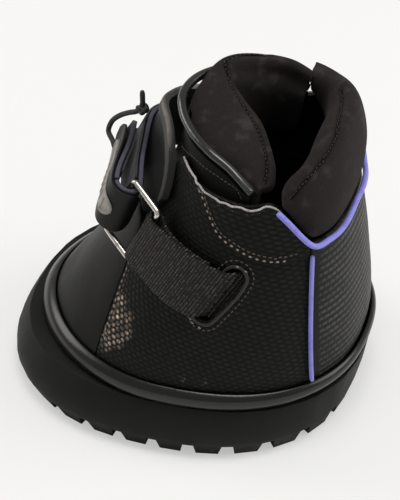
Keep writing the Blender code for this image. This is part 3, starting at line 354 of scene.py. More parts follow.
@dataclass(frozen=True)
class HexCloth(Finish):
    """Coated cloth embossed with six-sided bumps, with painted shade in the grooves, painted sheen on some
    tops and a painted highlight on the tops at marked spots.
    """

    pitch: float = 2.5 * MM
    stretch: float = 1.3
    relief: float = 0.3 * MM

    def paint(self, shader: Shader) -> bpy.types.Material:
        """Makes the embossed cloth's nodes."""
        rise = math.sqrt(3)
        half = (0.5, rise / 2, 1.0)
        minus = (-0.5, -rise / 2, -1.0)
        cells = shader.vector("MULTIPLY", shader.laid(), (1 / self.pitch / self.stretch, 1 / self.pitch, 0.0))
        moved = shader.vector("ADD", cells, (0.5, rise / 2, 0.0))
        one = shader.length(shader.vector("WRAP", cells, half, minus))
        other = shader.length(shader.vector("WRAP", moved, half, minus))
        near = shader.math("MINIMUM", one, other)
        top = 1 - shader.between(near, 0.12, 0.5)
        place = shader.places()
        patches = shader.between(shader.noise(place, 9 * MM, 3), 0.45, 0.62)
        # shine marks the spots where the bump tops get a painted highlight in pale beige.
        shine = shader.mask("shine")
        # Noise that breaks up the painted highlight.
        worn = shader.between(shader.noise(place, 2.6 * MM, 2), 0.42, 0.62)
        painted_glint = top * shine * (0.25 + worn * 0.75)
        # Painted shade darkens the grooves between the bumps, and painted sheen lightens the bump tops in
        # noise patches.
        shaded_grooves = shader.blend(top, self.tone(0.45), self.colour)
        sheened_tops = shader.blend(top * patches * 0.3, shaded_grooves, self.tone(2.6))
        return shader.surface(
            Base_Color=shader.blend(painted_glint, sheened_tops, (0.85, 0.66, 0.52)),
            Roughness=self.roughness + (1 - top) * 0.25 - shine * 0.08,
            Normal=shader.bump(top * (0.45 + 0.3 * patches + shine * 0.8), self.relief, 1.0),
            Specular_IOR_Level=0.17,
        )


@dataclass(frozen=True)
class RowCloth(Finish):
    """Heel cloth with level rows of grey dashes, plain and dark along its seams."""

    pitch: float = 3.1 * MM
    dash: float = 2.6 * MM
    row_colour: tuple[float, float, float] = (0.075, 0.075, 0.077)

    def paint(self, shader: Shader) -> bpy.types.Material:
        """Makes the row cloth's nodes."""
        along, across, _ = shader.parts(shader.laid())
        row = across / self.pitch
        wave = shader.wave(row, 1) * 0.5 + 0.5
        rise = shader.between(wave, 0.25, 0.85)
        turn = shader.math("FLOOR", row) * 0.5
        dashes = shader.wave(along / self.dash + turn, 1) * 0.5 + 0.5
        fill = shader.between(dashes, 0.05, 0.5)
        plain = shader.mask("strip")
        seen = rise * (0.45 + fill * 0.55) * (1 - plain)
        worn = shader.between(shader.noise(shader.places(), 14 * MM, 4), 0.3, 0.75)
        return shader.surface(
            Base_Color=shader.blend(seen * (0.35 + worn * 0.65), self.colour, self.row_colour),
            Roughness=self.roughness - seen * 0.12,
            Normal=shader.bump(seen, 0.3 * MM, 1.0),
            Specular_IOR_Level=0.2,
        )


@dataclass(frozen=True)
class Jersey(Finish):
    """Soft knitted face of the padding, with a short nap and painted shade along its seams."""

    stitch: float = 0.75 * MM

    def paint(self, shader: Shader) -> bpy.types.Material:
        """Makes the jersey's nodes."""
        place = shader.places()
        nap = shader.noise(place, self.stitch, 4)
        knit = shader.node("ShaderNodeTexVoronoi", None, {"Vector": place, "Scale": 1 / self.stitch})
        cells = Level(shader, knit.outputs["Distance"])
        lint = shader.between(shader.noise(place, 7 * MM, 6), 0.5, 0.74)
        # Painted shade: along the seam line the colour falls nearly to black, standing in for the shade in
        # the seam's groove.
        fold = shader.mask("seam")
        base = shader.blend(nap, self.tone(0.55), self.tone(1.35))
        soft = shader.blend(lint * 0.6, base, self.tone(2.6))
        return shader.surface(
            Base_Color=shader.blend(fold, soft, self.tone(0.06)),
            Roughness=self.roughness + nap * 0.1,
            Normal=shader.bump(nap * 0.7 - cells * 0.5, 0.14 * MM, 0.8),
            Sheen_Weight=0.04,
            Sheen_Roughness=0.5,
            Sheen_Tint=(0.8, 0.7, 0.66, 1.0),
            Specular_IOR_Level=0.08,
        )


@dataclass(frozen=True)
class Twill(Finish):
    """Fine slanting weave of the pipings and bindings, with painted shade where a binding is marked below its
    upper edge.
    """

    thread: float = 0.6 * MM
    deep: tuple[float, float, float] = (0.1, 0.1, 0.1)

    def paint(self, shader: Shader) -> bpy.types.Material:
        """Makes the twill's nodes."""
        place = shader.places()
        x, y, z = shader.parts(place)
        slant = shader.wave(x * 0.6 + y * 0.8 + z * 0.9, self.thread)
        thread = slant * 0.5 + 0.5
        soil = shader.between(shader.noise(place, 5 * MM, 5), 0.44, 0.74)
        # Painted shade: where marked, a binding below its upper edge is painted nearly black.
        under = shader.mask("under")
        worn = shader.blend(thread * 0.35 + soil * 0.4, self.colour, self.deep)
        base = shader.blend(under, worn, tuple(c * 0.12 for c in self.deep))
        return shader.surface(
            Base_Color=base,
            Roughness=self.roughness,
            Normal=shader.bump(thread + shader.noise(place, 0.5 * MM, 2), 0.08 * MM, 0.7),
            Sheen_Weight=0.15,
        )


@dataclass(frozen=True)
class RibbedWebbing(Finish):
    """Woven nylon webbing: ribs across it, made of small rounded yarns whose tops carry a painted highlight.
    """

    rib: float = 1.3 * MM
    yarn: float = 0.95 * MM
    yarn_highlight: tuple[float, float, float] = (0.16, 0.13, 0.11)

    def paint(self, shader: Shader) -> bpy.types.Material:
        """Makes the webbing's nodes."""
        along, across, _ = shader.parts(shader.laid())
        rib = along / self.rib
        ridge = abs(shader.math("SINE", rib * math.pi))
        half_turn = shader.math("FLOOR", rib) * 0.5
        bead = abs(shader.math("SINE", (across / self.yarn + half_turn) * math.pi))
        top = shader.between(ridge * bead, 0.35, 0.95)
        # Painted highlight on the yarn tops, broken up by this noise.
        worn = shader.between(shader.noise(shader.places(), 1.6 * MM, 3), 0.4, 0.66)
        return shader.surface(
            Base_Color=shader.blend(top * worn * 0.8, self.colour, self.yarn_highlight),
            Roughness=self.roughness - top * 0.12,
            Normal=shader.bump(ridge * 0.7 + ridge * bead * 0.5, 0.55 * MM, 1.0),
            Specular_IOR_Level=0.35,
        )


@dataclass(frozen=True)
class ChevronCloth(Finish):
    """Strap cloth with raised zigzag ribs whose tops carry a painted highlight, and a paler cut edge where
    the mask says so.
    """

    rib: float = 1.7 * MM
    zig: float = 7.5 * MM
    relief: float = 0.5 * MM
    edge_colour: tuple[float, float, float] = (0.11, 0.108, 0.16)

    def paint(self, shader: Shader) -> bpy.types.Material:
        """Makes the strap cloth's nodes."""
        along, across, _ = shader.parts(shader.laid())
        zag = shader.math("PINGPONG", across, self.zig)
        wave = shader.wave(along + zag * 0.8, self.rib) * 0.5 + 0.5
        top = shader.between(wave, 0.15, 0.8)
        fuzz = shader.noise(shader.places(), 0.5 * MM, 3)
        cut = shader.mask("edge")
        # Painted highlight: the rib tops are painted seven times lighter than the hollows.
        base = shader.blend(top, self.colour, self.tone(7))
        return shader.surface(
            Base_Color=shader.blend(cut * (0.55 + fuzz * 0.45), base, self.edge_colour),
            Roughness=self.roughness - top * 0.1,
            Normal=shader.bump(top * (1 - cut) + fuzz * 0.25, self.relief, 1.0),
            Specular_IOR_Level=0.3,
        )


@dataclass(frozen=True)
class LoopPile(Finish):
    """Short pile of the hook and loop fastening."""

    pile: float = 0.45 * MM

    def paint(self, shader: Shader) -> bpy.types.Material:
        """Makes the pile's nodes."""
        place = shader.places()
        fuzz = shader.noise(place, self.pile, 5)
        clumps = shader.noise(place, 3 * MM, 3)
        return shader.surface(
            Base_Color=shader.blend(fuzz * clumps, self.colour, self.tone(4)),
            Roughness=self.roughness,
            Normal=shader.bump(fuzz, 0.5 * MM, 1.0),
            Sheen_Weight=0.3,
        )


@dataclass(frozen=True)
class BrightWire(Finish):
    """Nickel plated wire with faint drawn lines and a few dull spots."""

    def paint(self, shader: Shader) -> bpy.types.Material:
        """Makes the wire's nodes."""
        place = shader.places()
        dull = shader.between(shader.noise(place, 4 * MM, 5), 0.5, 0.75)
        lines = shader.noise(place, 0.35 * MM, 2)
        return shader.surface(
            Base_Color=shader.blend(dull, self.colour, (0.40, 0.36, 0.31)),
            Roughness=self.roughness + dull * 0.2,
            Normal=shader.bump(lines, 0.01 * MM, 0.5),
            Metallic=1.0,
        )


@dataclass(frozen=True)
class PaintedRubber(Finish):
    """Silver-grey face of the grip plate, rubbed dark in places."""

    def paint(self, shader: Shader) -> bpy.types.Material:
        """Makes the painted rubber's nodes."""
        place = shader.places()
        rubbed = shader.between(shader.noise(place, 6 * MM, 5), 0.45, 0.75)
        grain = shader.noise(place, 0.4 * MM, 3)
        return shader.surface(
            Base_Color=shader.blend(rubbed * 0.45, self.colour, (0.10, 0.093, 0.086)),
            Roughness=self.roughness + rubbed * 0.15,
            Normal=shader.bump(grain + rubbed * -0.5, 0.08 * MM, 0.8),
            Metallic=0.25,
        )


@dataclass(frozen=True)
class BraidedCord(Finish):
    """Round braided cord: two families of strands that cross, their crowns carrying a painted highlight."""

    strand: float = 1.5 * MM

    def paint(self, shader: Shader) -> bpy.types.Material:
        """Makes the braid's nodes."""
        along, around, _ = shader.parts(shader.laid())
        one = shader.wave(along + around, self.strand)
        other = shader.wave(along - around, self.strand)
        top = shader.math("MAXIMUM", one, other) * 0.5 + 0.5
        # Painted highlight: the strand crowns are painted lighter.
        return shader.surface(
            Base_Color=shader.blend(top * 0.6, self.colour, self.tone(3.2)),
            Roughness=self.roughness,
            Normal=shader.bump(top, 0.18 * MM, 0.9),
        )


@dataclass(frozen=True)
class TwistedThread(Finish):
    """Sewing thread."""

    def paint(self, shader: Shader) -> bpy.types.Material:
        """Makes the thread's nodes."""
        place = shader.places()
        tint = shader.noise(place, 4 * MM, 3)
        return shader.surface(
            Base_Color=shader.blend(tint, self.tone(0.5), self.colour),
            Roughness=self.roughness,
            Normal=shader.bump(shader.noise(place, 0.3 * MM, 2), 0.05 * MM, 0.8),
        )


SOLE_RUBBER = MouldedRubber("sole_rubber", "rubber", (0.005, 0.0052, 0.0045), 0.5)
BAND_RUBBER = MouldedRubber("band_rubber", "rubber", (0.004, 0.004, 0.0038), 0.18, 0.5 * MM, 0.15, 0.5)
TAB_RUBBER = MouldedRubber("tab_rubber", "rubber", (0.006, 0.006, 0.006), 0.42, 0.5 * MM, 0.0)
ROLL_RUBBER = MouldedRubber("roll_cover", "rubber", (0.006, 0.006, 0.006), 0.17, 1.2 * MM, 0.0, 0.9)
SATIN = SatinCloth("satin_cloth", "smooth_panel", (0.0035, 0.0035, 0.0032), 0.42)
HEX = HexCloth("hex_cloth", "coated_fabric", (0.0045, 0.0048, 0.0042), 0.36)
ROWS = RowCloth("row_cloth", "heel_fabric", (0.006, 0.006, 0.0058), 0.5)
JERSEY = Jersey("jersey", "neoprene", (0.021, 0.0185, 0.0175), 0.85)
KNIT = Jersey("lining_knit", "lining", (0.004, 0.004, 0.004), 0.9, 1.1 * MM)
PIPING = Twill("blue_piping", "piping", (0.30, 0.30, 0.86), 0.6, 0.7 * MM, (0.17, 0.155, 0.6))
EDGE_TAPE = Twill("edge_tape", "edge_binding", (0.24, 0.22, 0.20), 0.75, 0.8 * MM, (0.07, 0.062, 0.055))
CUT_EDGE = Twill("cut_edge", "edge_binding", (0.55, 0.52, 0.52), 0.75, 0.9 * MM, (0.15, 0.12, 0.10))
SLOT_TAPE = Twill("slot_tape", "nylon", (0.005, 0.005, 0.005), 0.5, 0.5 * MM, (0.012, 0.011, 0.010))
WEBBING = RibbedWebbing("webbing", "nylon", (0.0035, 0.0034, 0.0032), 0.66)
STRAP_CLOTH = ChevronCloth("strap_cloth", "strap_fabric", (0.0035, 0.0035, 0.0035), 0.55)
PLAIN_STRAP = ChevronCloth("plain_strap", "strap_fabric", (0.006, 0.0058, 0.0062), 0.7, 0.8 * MM, 2 * MM,
                           0.08 * MM)
PILE = LoopPile("loop_pile", "nylon", (0.012, 0.012, 0.014), 0.9)
NICKEL = BrightWire("nickel_wire", "nickel", (0.74, 0.71, 0.66), 0.2)
SILVER = PaintedRubber("silver_plate", "silver_rubber", (0.36, 0.34, 0.31), 0.45)
CORD = BraidedCord("braided_cord", "nylon", (0.009, 0.009, 0.010), 0.6)
PALE_THREAD = TwistedThread("pale_thread", "nylon", (0.36, 0.28, 0.22), 0.5)
BROWN_THREAD = TwistedThread("brown_thread", "nylon", (0.105, 0.085, 0.07), 0.55)
BLACK_THREAD = TwistedThread("black_thread", "nylon", (0.035, 0.033, 0.033), 0.6)
BOARD = LoopPile("pressed_board", "board", (0.05, 0.04, 0.03), 0.9, 1.2 * MM)
FOAM = LoopPile("footbed_foam", "foam", (0.02, 0.02, 0.022), 0.85, 0.9 * MM)


def places_of(mesh: bpy.types.Mesh) -> Points:
    """A mesh's vertices as rows."""
    flat = np.empty(3 * len(mesh.vertices), np.float32)
    mesh.vertices.foreach_get("co", flat)
    return flat.reshape(-1, 3).astype(float)


def object_of(name: str, points: Iterable, faces: Iterable, edges: Iterable = ()) -> bpy.types.Object:
    """A new mesh object at the origin.

    Args:
        name: its name.
        points: its vertices.
        faces: its faces, as lists of vertex numbers.
        edges: loose edges, where it has no faces.

    Returns:
        The object.
    """
    mesh = bpy.data.meshes.new(name)
    mesh.from_pydata([tuple(p) for p in points], list(edges), [list(f) for f in faces])
    mesh.update()
    made = bpy.data.objects.new(name, mesh)
    bpy.context.scene.collection.objects.link(made)
    return made


def middle_of(node: str) -> Vector:
    """The middle of a CAD node's box."""
    low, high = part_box(node)
    return (low + high) / 2


@contextmanager
def edited(piece: bpy.types.Object) -> Iterator[bmesh.types.BMesh]:
    """Opens a piece's mesh for editing and writes it back."""
    work = bmesh.new()
    work.from_mesh(piece.data)
    yield work
    work.to_mesh(piece.data)
    work.free()


def copied(node: str, name: str, quads: bool = True) -> bpy.types.Object:
    """A welded copy of a CAD node, with its pairs of triangles joined.

    Args:
        node: the CAD node.
        name: the copy's name.
        quads: whether triangles are joined into quads.

    Returns:
        The copy.
    """
    work = bmesh.new()
    work.from_mesh(frame["nodes"][node].data)
    bmesh.ops.remove_doubles(work, verts=work.verts, dist=0.002 * MM)
    if quads:
        bmesh.ops.join_triangles(work, faces=work.faces, angle_face_threshold=math.radians(25),
                                 angle_shape_threshold=math.radians(70))
    points = [v.co[:] for v in work.verts]
    faces = [[v.index for v in f.verts] for f in work.faces]
    work.free()
    return object_of(name, points, faces)


def applied(piece: bpy.types.Object) -> bpy.types.Object:
    """Turns a piece's modifiers into plain mesh."""
    graph = bpy.context.evaluated_depsgraph_get()
    mesh = bpy.data.meshes.new_from_object(piece.evaluated_get(graph))
    old = piece.data
    piece.modifiers.clear()
    piece.data = mesh
    mesh.name = piece.name
    bpy.data.meshes.remove(old)
    return piece


def subdivided(piece: bpy.types.Object, levels: int) -> bpy.types.Object:
    """Divides a piece's faces smoothly, as plain mesh."""
    smooth = piece.modifiers.new("Subdivision", "SUBSURF")
    smooth.levels = smooth.render_levels = levels
    return applied(piece)


def rounded(piece: bpy.types.Object, levels: int, crease: float = 0.7,
            angle: float = 38.0) -> bpy.types.Object:
    """Subdivides a piece and keeps its sharp edges fairly tight.

    Args:
        piece: the piece.
        levels: how many times.
        crease: how tight the sharp edges stay.
        angle: the bend in degrees past which an edge is sharp.

    Returns:
        The piece, as plain mesh.
    """
    with edited(piece) as work:
        layer = work.edges.layers.float.new("crease_edge")
        for edge in work.edges:
            if len(edge.link_faces) == 2 and edge.calc_face_angle(0.0) > math.radians(angle):
                edge[layer] = crease
    return subdivided(piece, levels)


def bevelled(piece: bpy.types.Object, width: float, angle: float = 32.0) -> bpy.types.Object:
    """Merges a piece's flat faces and rounds its edges."""
    with edited(piece) as work:
        bmesh.ops.dissolve_limit(work, angle_limit=math.radians(0.6), verts=work.verts, edges=work.edges)
    bevel = piece.modifiers.new("Bevel", "BEVEL")
    bevel.width, bevel.segments, bevel.limit_method = width, 2, "ANGLE"
    bevel.angle_limit = math.radians(angle)
    return applied(piece)


def shaded(piece: bpy.types.Object, angle: float = 40.0) -> bpy.types.Object:
    """Smooth shading with sharp edges past an angle."""
    piece.data.polygons.foreach_set("use_smooth", [True] * len(piece.data.polygons))
    piece.data.set_sharp_from_angle(angle=math.radians(angle))
    return piece


def moved(piece: bpy.types.Object, shift: Callable[[Points, Points], Points]) -> bpy.types.Object:
    """Moves a piece's vertices.

    Args:
        piece: the piece.
        shift: gives the new places from the places and the normals.

    Returns:
        The piece.
    """
    mesh = piece.data
    normals = np.empty(3 * len(mesh.vertices), np.float32)
    mesh.vertices.foreach_get("normal", normals)
    places = shift(places_of(mesh), normals.reshape(-1, 3).astype(float))
    mesh.vertices.foreach_set("co", places.astype(np.float32).ravel())
    mesh.update()
    return piece


def rumpled(piece: bpy.types.Object, height: float, size: float, seed: float) -> bpy.types.Object:
    """Gives a piece the low dents of handled cloth."""

    def shift(places: Points, normals: Points) -> Points:
        """Moves each place along its normal by smooth noise."""
        lift = [height * noise.noise(Vector(p) / size + Vector((seed, seed, seed))) for p in places]
        return places + normals * np.array(lift)[:, None]

    return moved(piece, shift)


def carry(piece: bpy.types.Object, name: str, values: Points) -> None:
    """Stores a number or a vector at each point of a piece."""
    if values.ndim == 1:
        layer = piece.data.attributes.new(name, "FLOAT", "POINT")
        layer.data.foreach_set("value", values.astype(np.float32))
    else:
        layer = piece.data.attributes.new(name, "FLOAT_VECTOR", "POINT")
        layer.data.foreach_set("vector", values.astype(np.float32).ravel())


def unrolled(places: Points) -> Points:
    """Cloth coordinates of the upper's wall: its cone, laid flat."""
    slope = 0.2
    share = slope / math.hypot(1, slope)
    x, y, z = places[:, 0], AXIS_Y - places[:, 1], places[:, 2]
    radius = np.hypot(x, y)
    turn = np.arctan2(x, y) * share
    reach = (62 * MM - slope * (z - 30 * MM)) / share + 0.25 * (radius - 62 * MM)
    return np.stack((reach * np.sin(turn), -reach * np.cos(turn), np.zeros_like(x)), axis=1)


def banded(places: Points) -> Points:
    """Cloth coordinates with level rows: along the girth, and the height up the slope."""
    turn = np.arctan2(places[:, 0], AXIS_Y - places[:, 1])
    return np.stack((turn * 56 * MM, places[:, 2] * 1.03, np.zeros(len(places))), axis=1)


def laid_along(across: Vector, ahead: Vector, origin: Vector) -> Callable[[Points], Points]:
    """Cloth coordinates of a flat strap.

    Args:
        across: the direction across it.
        ahead: roughly the direction along it.
        origin: a point on its middle line.

    Returns:
        A function from places to coordinates.
    """
    side = np.array(across.normalized())
    way = np.array((ahead - ahead.project(across)).normalized())

    def lay(places: Points) -> Points:
        """Distances along and across from the origin."""
        rest = places - np.array(origin)
        return np.stack((rest @ way, rest @ side, np.zeros(len(places))), axis=1)

    return lay


def distance_to(places: Points, path: Sequence) -> Points:
    """Each place's distance to a path of points."""
    line = dense(path, 1.0 * MM)
    best = np.full(len(places), 1.0)
    for point in line:
        best = np.minimum(best, np.linalg.norm(places - point, axis=1))
    return best


def dense(path: Sequence, step: float) -> Points:
    """A smooth curve through some points, in steps of about that length."""
    points = np.array([tuple(p) for p in path], float)
    lengths = np.concatenate(([0.0], np.cumsum(np.linalg.norm(np.diff(points, axis=0), axis=1))))
    count = max(int(lengths[-1] / step), 2)
    at = np.linspace(0, lengths[-1], count + 1)
    if len(points) < 3:
        return np.stack([np.interp(at, lengths, points[:, k]) for k in range(3)], axis=1)
    ways = np.gradient(points, lengths, axis=0)
    places = []
    for value in at:
        k = min(int(np.searchsorted(lengths, value, side="right")) - 1, len(points) - 2)
        span = lengths[k + 1] - lengths[k]
        t = (value - lengths[k]) / span
        places.append(
            (2 * t**3 - 3 * t**2 + 1) * points[k]
            + (t**3 - 2 * t**2 + t) * span * ways[k]
            + (3 * t**2 - 2 * t**3) * points[k + 1]
            + (t**3 - t**2) * span * ways[k + 1]
        )
    return np.array(places)


class Skin:
    """The outside of one piece, to lay paths on."""

    def __init__(self, piece: bpy.types.Object) -> None:
        """Reads a piece's faces."""
        mesh = piece.data
        self.places = places_of(mesh)
        self.turns = np.degrees(np.arctan2(self.places[:, 0], AXIS_Y - self.places[:, 1]))
        faces = [list(p.vertices) for p in mesh.polygons]
        self.tree = BVHTree.FromPolygons([v.co[:] for v in mesh.vertices], faces)

    def seen(self, sight: tuple[float, float]) -> tuple[Vector, Vector] | None:
        """The point and the normal that the camera sees at a place of the picture, on this piece alone."""
        ahead = (CAMERA_TARGET - CAMERA_PLACE).normalized()
        right = ahead.cross(Vector((0, 0, 1))).normalized()
        up = right.cross(ahead)
        x = (sight[0] - PHOTO_WIDTH / 2) / FOCAL_PIXELS
        y = (PHOTO_HEIGHT / 2 - sight[1]) / FOCAL_PIXELS
        place, normal, _, _ = self.tree.ray_cast(CAMERA_PLACE, (ahead + right * x + up * y).normalized())
        return None if place is None else (place, normal)

    def on(self, place: Vector, reach: float = 12 * MM) -> tuple[Vector, Vector] | None:
        """The nearest point of the piece."""
        found, normal, _, _ = self.tree.find_nearest(Vector(place), reach)
        return None if found is None else (found, normal)

    def sighted(self, sights: Sequence[tuple[float, float]]) -> list[Vector]:
        """The points seen at some places of the picture, where the piece is hit."""
        return [hit[0] for hit in map(self.seen, sights) if hit]

    def nearest(self, path: Iterable) -> list[Vector]:
        """The piece's nearest points to some places, where it is near enough."""
        return [hit[0] for hit in map(self.on, path) if hit]

    def traced(self, sights: Sequence[tuple[float, float]]) -> list[Vector]:
        """A smooth line pressed on the piece through the points seen at some places of the picture."""
        return [place for place, _ in self.laid(self.sighted(sights), 0.0, 1.2 * MM)]

    def laid(self, path: Sequence, lift: float, step: float = 0.8 * MM) -> list[tuple[Vector, Vector]]:
        """A smooth path pressed on the piece, with normals, a little above it."""
        found = []
        for place in dense(path, step):
            hit = self.on(place)
            if hit:
                found.append((hit[0] + hit[1] * lift, hit[1]))
        return found

    def rim(self, turns: Sequence[float], top: bool) -> list[Vector]:
        """The piece's upper or lower edge at some bearings in degrees from the toe."""
        found = []
        for turn in turns:
            near = self.places[np.abs((self.turns - turn + 180) % 360 - 180) < 1.6]
            if len(near):
                found.append(Vector(near[near[:, 2].argmax() if top else near[:, 2].argmin()]))
        return found

    def side(self, heights: Sequence[float], last: bool) -> list[Vector]:
        """The piece's first or last bearing at some heights, round from the toe by the near side."""
        around = self.turns % 360
        found = []
        for height in heights:
            chosen = np.abs(self.places[:, 2] - height) < 2.2 * MM
            if chosen.any():
                near, turns = self.places[chosen], around[chosen]
                found.append(Vector(near[turns.argmax() if last else turns.argmin()]))
        return found


@dataclass
class Stitching:
    """Rows of stitches of one thread on one body, made by one Geometry Nodes tree."""

    name: str
    finish: Finish
    body: Body
    pitch: float = 2.6 * MM
    length: float = 1.9 * MM
    thickness: float = 0.55 * MM
    height: float = 0.4 * MM
    rows: list = field(default_factory=list)

    def row(self, skin: Skin, path: Sequence, lift: float = 0.1 * MM) -> None:
        """Adds a row along a path pressed on a piece."""
        laid = skin.laid(path, lift)
        if len(laid) > 3:
            self.rows.append(laid)

    def tree(self) -> tuple[bpy.types.NodeTree, dict[str, str]]:
        """The tree that turns polylines into stitches, and its inputs' identifiers."""
        tree = bpy.data.node_groups.new(self.name + "_rows", "GeometryNodeTree")
        made = {}
        tree.interface.new_socket("Geometry", in_out="INPUT", socket_type="NodeSocketGeometry")
        for label in ("Pitch", "Length", "Thickness", "Height"):
            socket = tree.interface.new_socket(label, in_out="INPUT", socket_type="NodeSocketFloat")
            made[label] = socket.identifier
        socket = tree.interface.new_socket("Thread", in_out="INPUT", socket_type="NodeSocketMaterial")
        made["Thread"] = socket.identifier
        tree.interface.new_socket("Geometry", in_out="OUTPUT", socket_type="NodeSocketGeometry")

        def node(kind: str, **settings: object) -> bpy.types.Node:
            """Adds a node with its settings."""
            one = tree.nodes.new(kind)
            for key, value in settings.items():
                setattr(one, key, value)
            return one

        given = node("NodeGroupInput")
        curve = node("GeometryNodeMeshToCurve")
        even = node("GeometryNodeResampleCurve", mode="LENGTH")
        out = node("GeometryNodeInputNamedAttribute", data_type="FLOAT_VECTOR")
        out.inputs["Name"].default_value = "out"
        tangent = node("GeometryNodeInputTangent")
        first = node("FunctionNodeAlignRotationToVector", axis="X")
        second = node("FunctionNodeAlignRotationToVector", axis="Z", pivot_axis="X")
        ball = node("GeometryNodeMeshUVSphere")
        ball.inputs["Segments"].default_value = 8
        ball.inputs["Rings"].default_value = 5
        ball.inputs["Radius"].default_value = 0.5
        size = node("ShaderNodeCombineXYZ")
        place = node("GeometryNodeInstanceOnPoints")
        real = node("GeometryNodeRealizeInstances")
        dye = node("GeometryNodeSetMaterial")
        end = node("NodeGroupOutput")
        for source, target in (
            (given.outputs[0], curve.inputs["Mesh"]),
            (curve.outputs["Curve"], even.inputs["Curve"]),
            (given.outputs["Pitch"], even.inputs["Length"]),
            (even.outputs["Curve"], place.inputs["Points"]),
            (ball.outputs["Mesh"], place.inputs["Instance"]),
            (tangent.outputs[0], first.inputs["Vector"]),
            (first.outputs[0], second.inputs["Rotation"]),
            (out.outputs["Attribute"], second.inputs["Vector"]),
            (second.outputs[0], place.inputs["Rotation"]),
            (given.outputs["Length"], size.inputs[0]),
            (given.outputs["Thickness"], size.inputs[1]),
            (given.outputs["Height"], size.inputs[2]),
            (size.outputs[0], place.inputs["Scale"]),
            (place.outputs[0], real.inputs[0]),
            (real.outputs[0], dye.inputs["Geometry"]),
            (given.outputs["Thread"], dye.inputs["Material"]),
            (dye.outputs[0], end.inputs[0]),
        ):
            tree.links.new(source, target)
        return tree, made

    def build(self) -> None:
        """Makes the rows one plain mesh and lets it ride on its body."""
        points, normals, edges = [], [], []
        for laid in self.rows:
            start = len(points)
            points += [p for p, _ in laid]
            normals += [n[:] for _, n in laid]
            edges += [(start + k, start + k + 1) for k in range(len(laid) - 1)]
        log.info("%s: %d rows", self.name, len(self.rows))
        if not points:
            return
        piece = object_of(self.name, points, (), edges)
        carry(piece, "out", np.array(normals))
        modifier = piece.modifiers.new("Stitches", "NODES")
        modifier.node_group, made = self.tree()
        given = {"Pitch": self.pitch, "Length": self.length, "Thickness": self.thickness,
                 "Height": self.height, "Thread": self.finish.material()}
        for label, value in given.items():
            modifier[made[label]] = value
        shaded(applied(piece), 60)
        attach(piece, self.body.value)


def dress(piece: bpy.types.Object, finish: Finish, body: Body, *nodes: str,
          angle: float = 40.0) -> bpy.types.Object:
    """Shades a finished piece, gives it its finish and its body, and hides the CAD nodes that it stands for.

    Args:
        piece: the piece.
        finish: its finish.
        body: the body that it rides on.
        nodes: the CAD nodes that it replaces.
        angle: the bend past which an edge looks sharp.

    Returns:
        The piece.
    """
    shaded(piece, angle)
    piece.data.materials.clear()
    piece.data.materials.append(finish.material())
    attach(piece, body.value)
    if nodes:
        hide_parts(*nodes)
    log.info("%s: %d faces", piece.name, len(piece.data.polygons))
    return piece


def covered(node: str, name: str, finish: Finish, body: Body, levels: int, crease: float, bend: float = 38.0,
            angle: float = 40.0, lay: Callable[[Points], Points] | None = None) -> bpy.types.Object:
    """A rounded copy of a CAD node, dressed.

    Args:
        node: the CAD node that it replaces.
        name: its name.
        finish: its finish.
        body: the body that it rides on.
        levels: how many times it is subdivided.
        crease: how tight its sharp edges stay.
        bend: the bend in degrees past which an edge is kept tight.
        angle: the bend past which an edge looks sharp.
        lay: gives its cloth coordinates, where its finish needs them.

    Returns:
        The piece.
    """
    piece = rounded(copied(node, name), levels, crease, bend)
    if lay:
        carry(piece, "cloth", lay(places_of(piece.data)))
    return dress(piece, finish, body, node, angle=angle)


def ring_faces(count: int, sides: int, closed: bool = False) -> list[tuple[int, ...]]:
    """The faces between rings of points, the last ring joined to the first where it is closed."""
    return [
        (k * sides + j, k * sides + (j + 1) % sides,
         (k + 1) % count * sides + (j + 1) % sides, (k + 1) % count * sides + j)
        for k in range(count if closed else count - 1)
        for j in range(sides)
    ]


def swept(name: str, path: Points, radius: float, sides: int, taper: float = 0.0) -> bpy.types.Object:
    """A closed tube along a path, with cloth coordinates along and round it.

    Args:
        name: its name.
        path: its centreline.
        radius: its radius.
        sides: how many sides it has.
        taper: how far the ends draw in, as a share of the radius.

    Returns:
        The tube.
    """
    ways = np.gradient(path, axis=0)
    ways /= np.linalg.norm(ways, axis=1)[:, None]
    normal = np.cross(ways[0], (0.3, 0.2, 0.9))
    points, cloth, run = [], [], 0.0
    for k, (centre, way) in enumerate(zip(path, ways)):
        normal = normal - way * (normal @ way)
        normal /= np.linalg.norm(normal)
        other = np.cross(way, normal)
        run += np.linalg.norm(centre - path[k - 1]) if k else 0.0
        size = radius * (1 - taper) if k in (0, len(path) - 1) else radius
        for j in range(sides):
            angle = TURN * j / sides
            points.append(centre + (normal * math.cos(angle) + other * math.sin(angle)) * size)
            cloth.append((run, abs(angle - math.pi) * radius, 0.0))
    faces = ring_faces(len(path), sides)
    faces += [tuple(range(sides))[::-1], tuple(range(len(points) - sides, len(points)))]
    made = object_of(name, points, faces)
    carry(made, "cloth", np.array(cloth))
    return made


def hoop(name: str, loop: Points, radius: float, sides: int) -> bpy.types.Object:
    """A closed tube round a closed line.

    Args:
        name: its name.
        loop: the line's points, the last one not the first again.
        radius: the tube's radius.
        sides: how many sides it has.

    Returns:
        The tube.
    """
    ways = np.roll(loop, -1, axis=0) - np.roll(loop, 1, axis=0)
    ways /= np.linalg.norm(ways, axis=1)[:, None]
    points = []
    for centre, way in zip(loop, ways):
        one = np.cross(way, (0.2, 0.1, 1.0))
        one /= np.linalg.norm(one)
        other = np.cross(way, one)
        for j in range(sides):
            angle = TURN * j / sides
            points.append(centre + (one * math.cos(angle) + other * math.sin(angle)) * radius)
    return object_of(name, points, ring_faces(len(loop), sides, True))


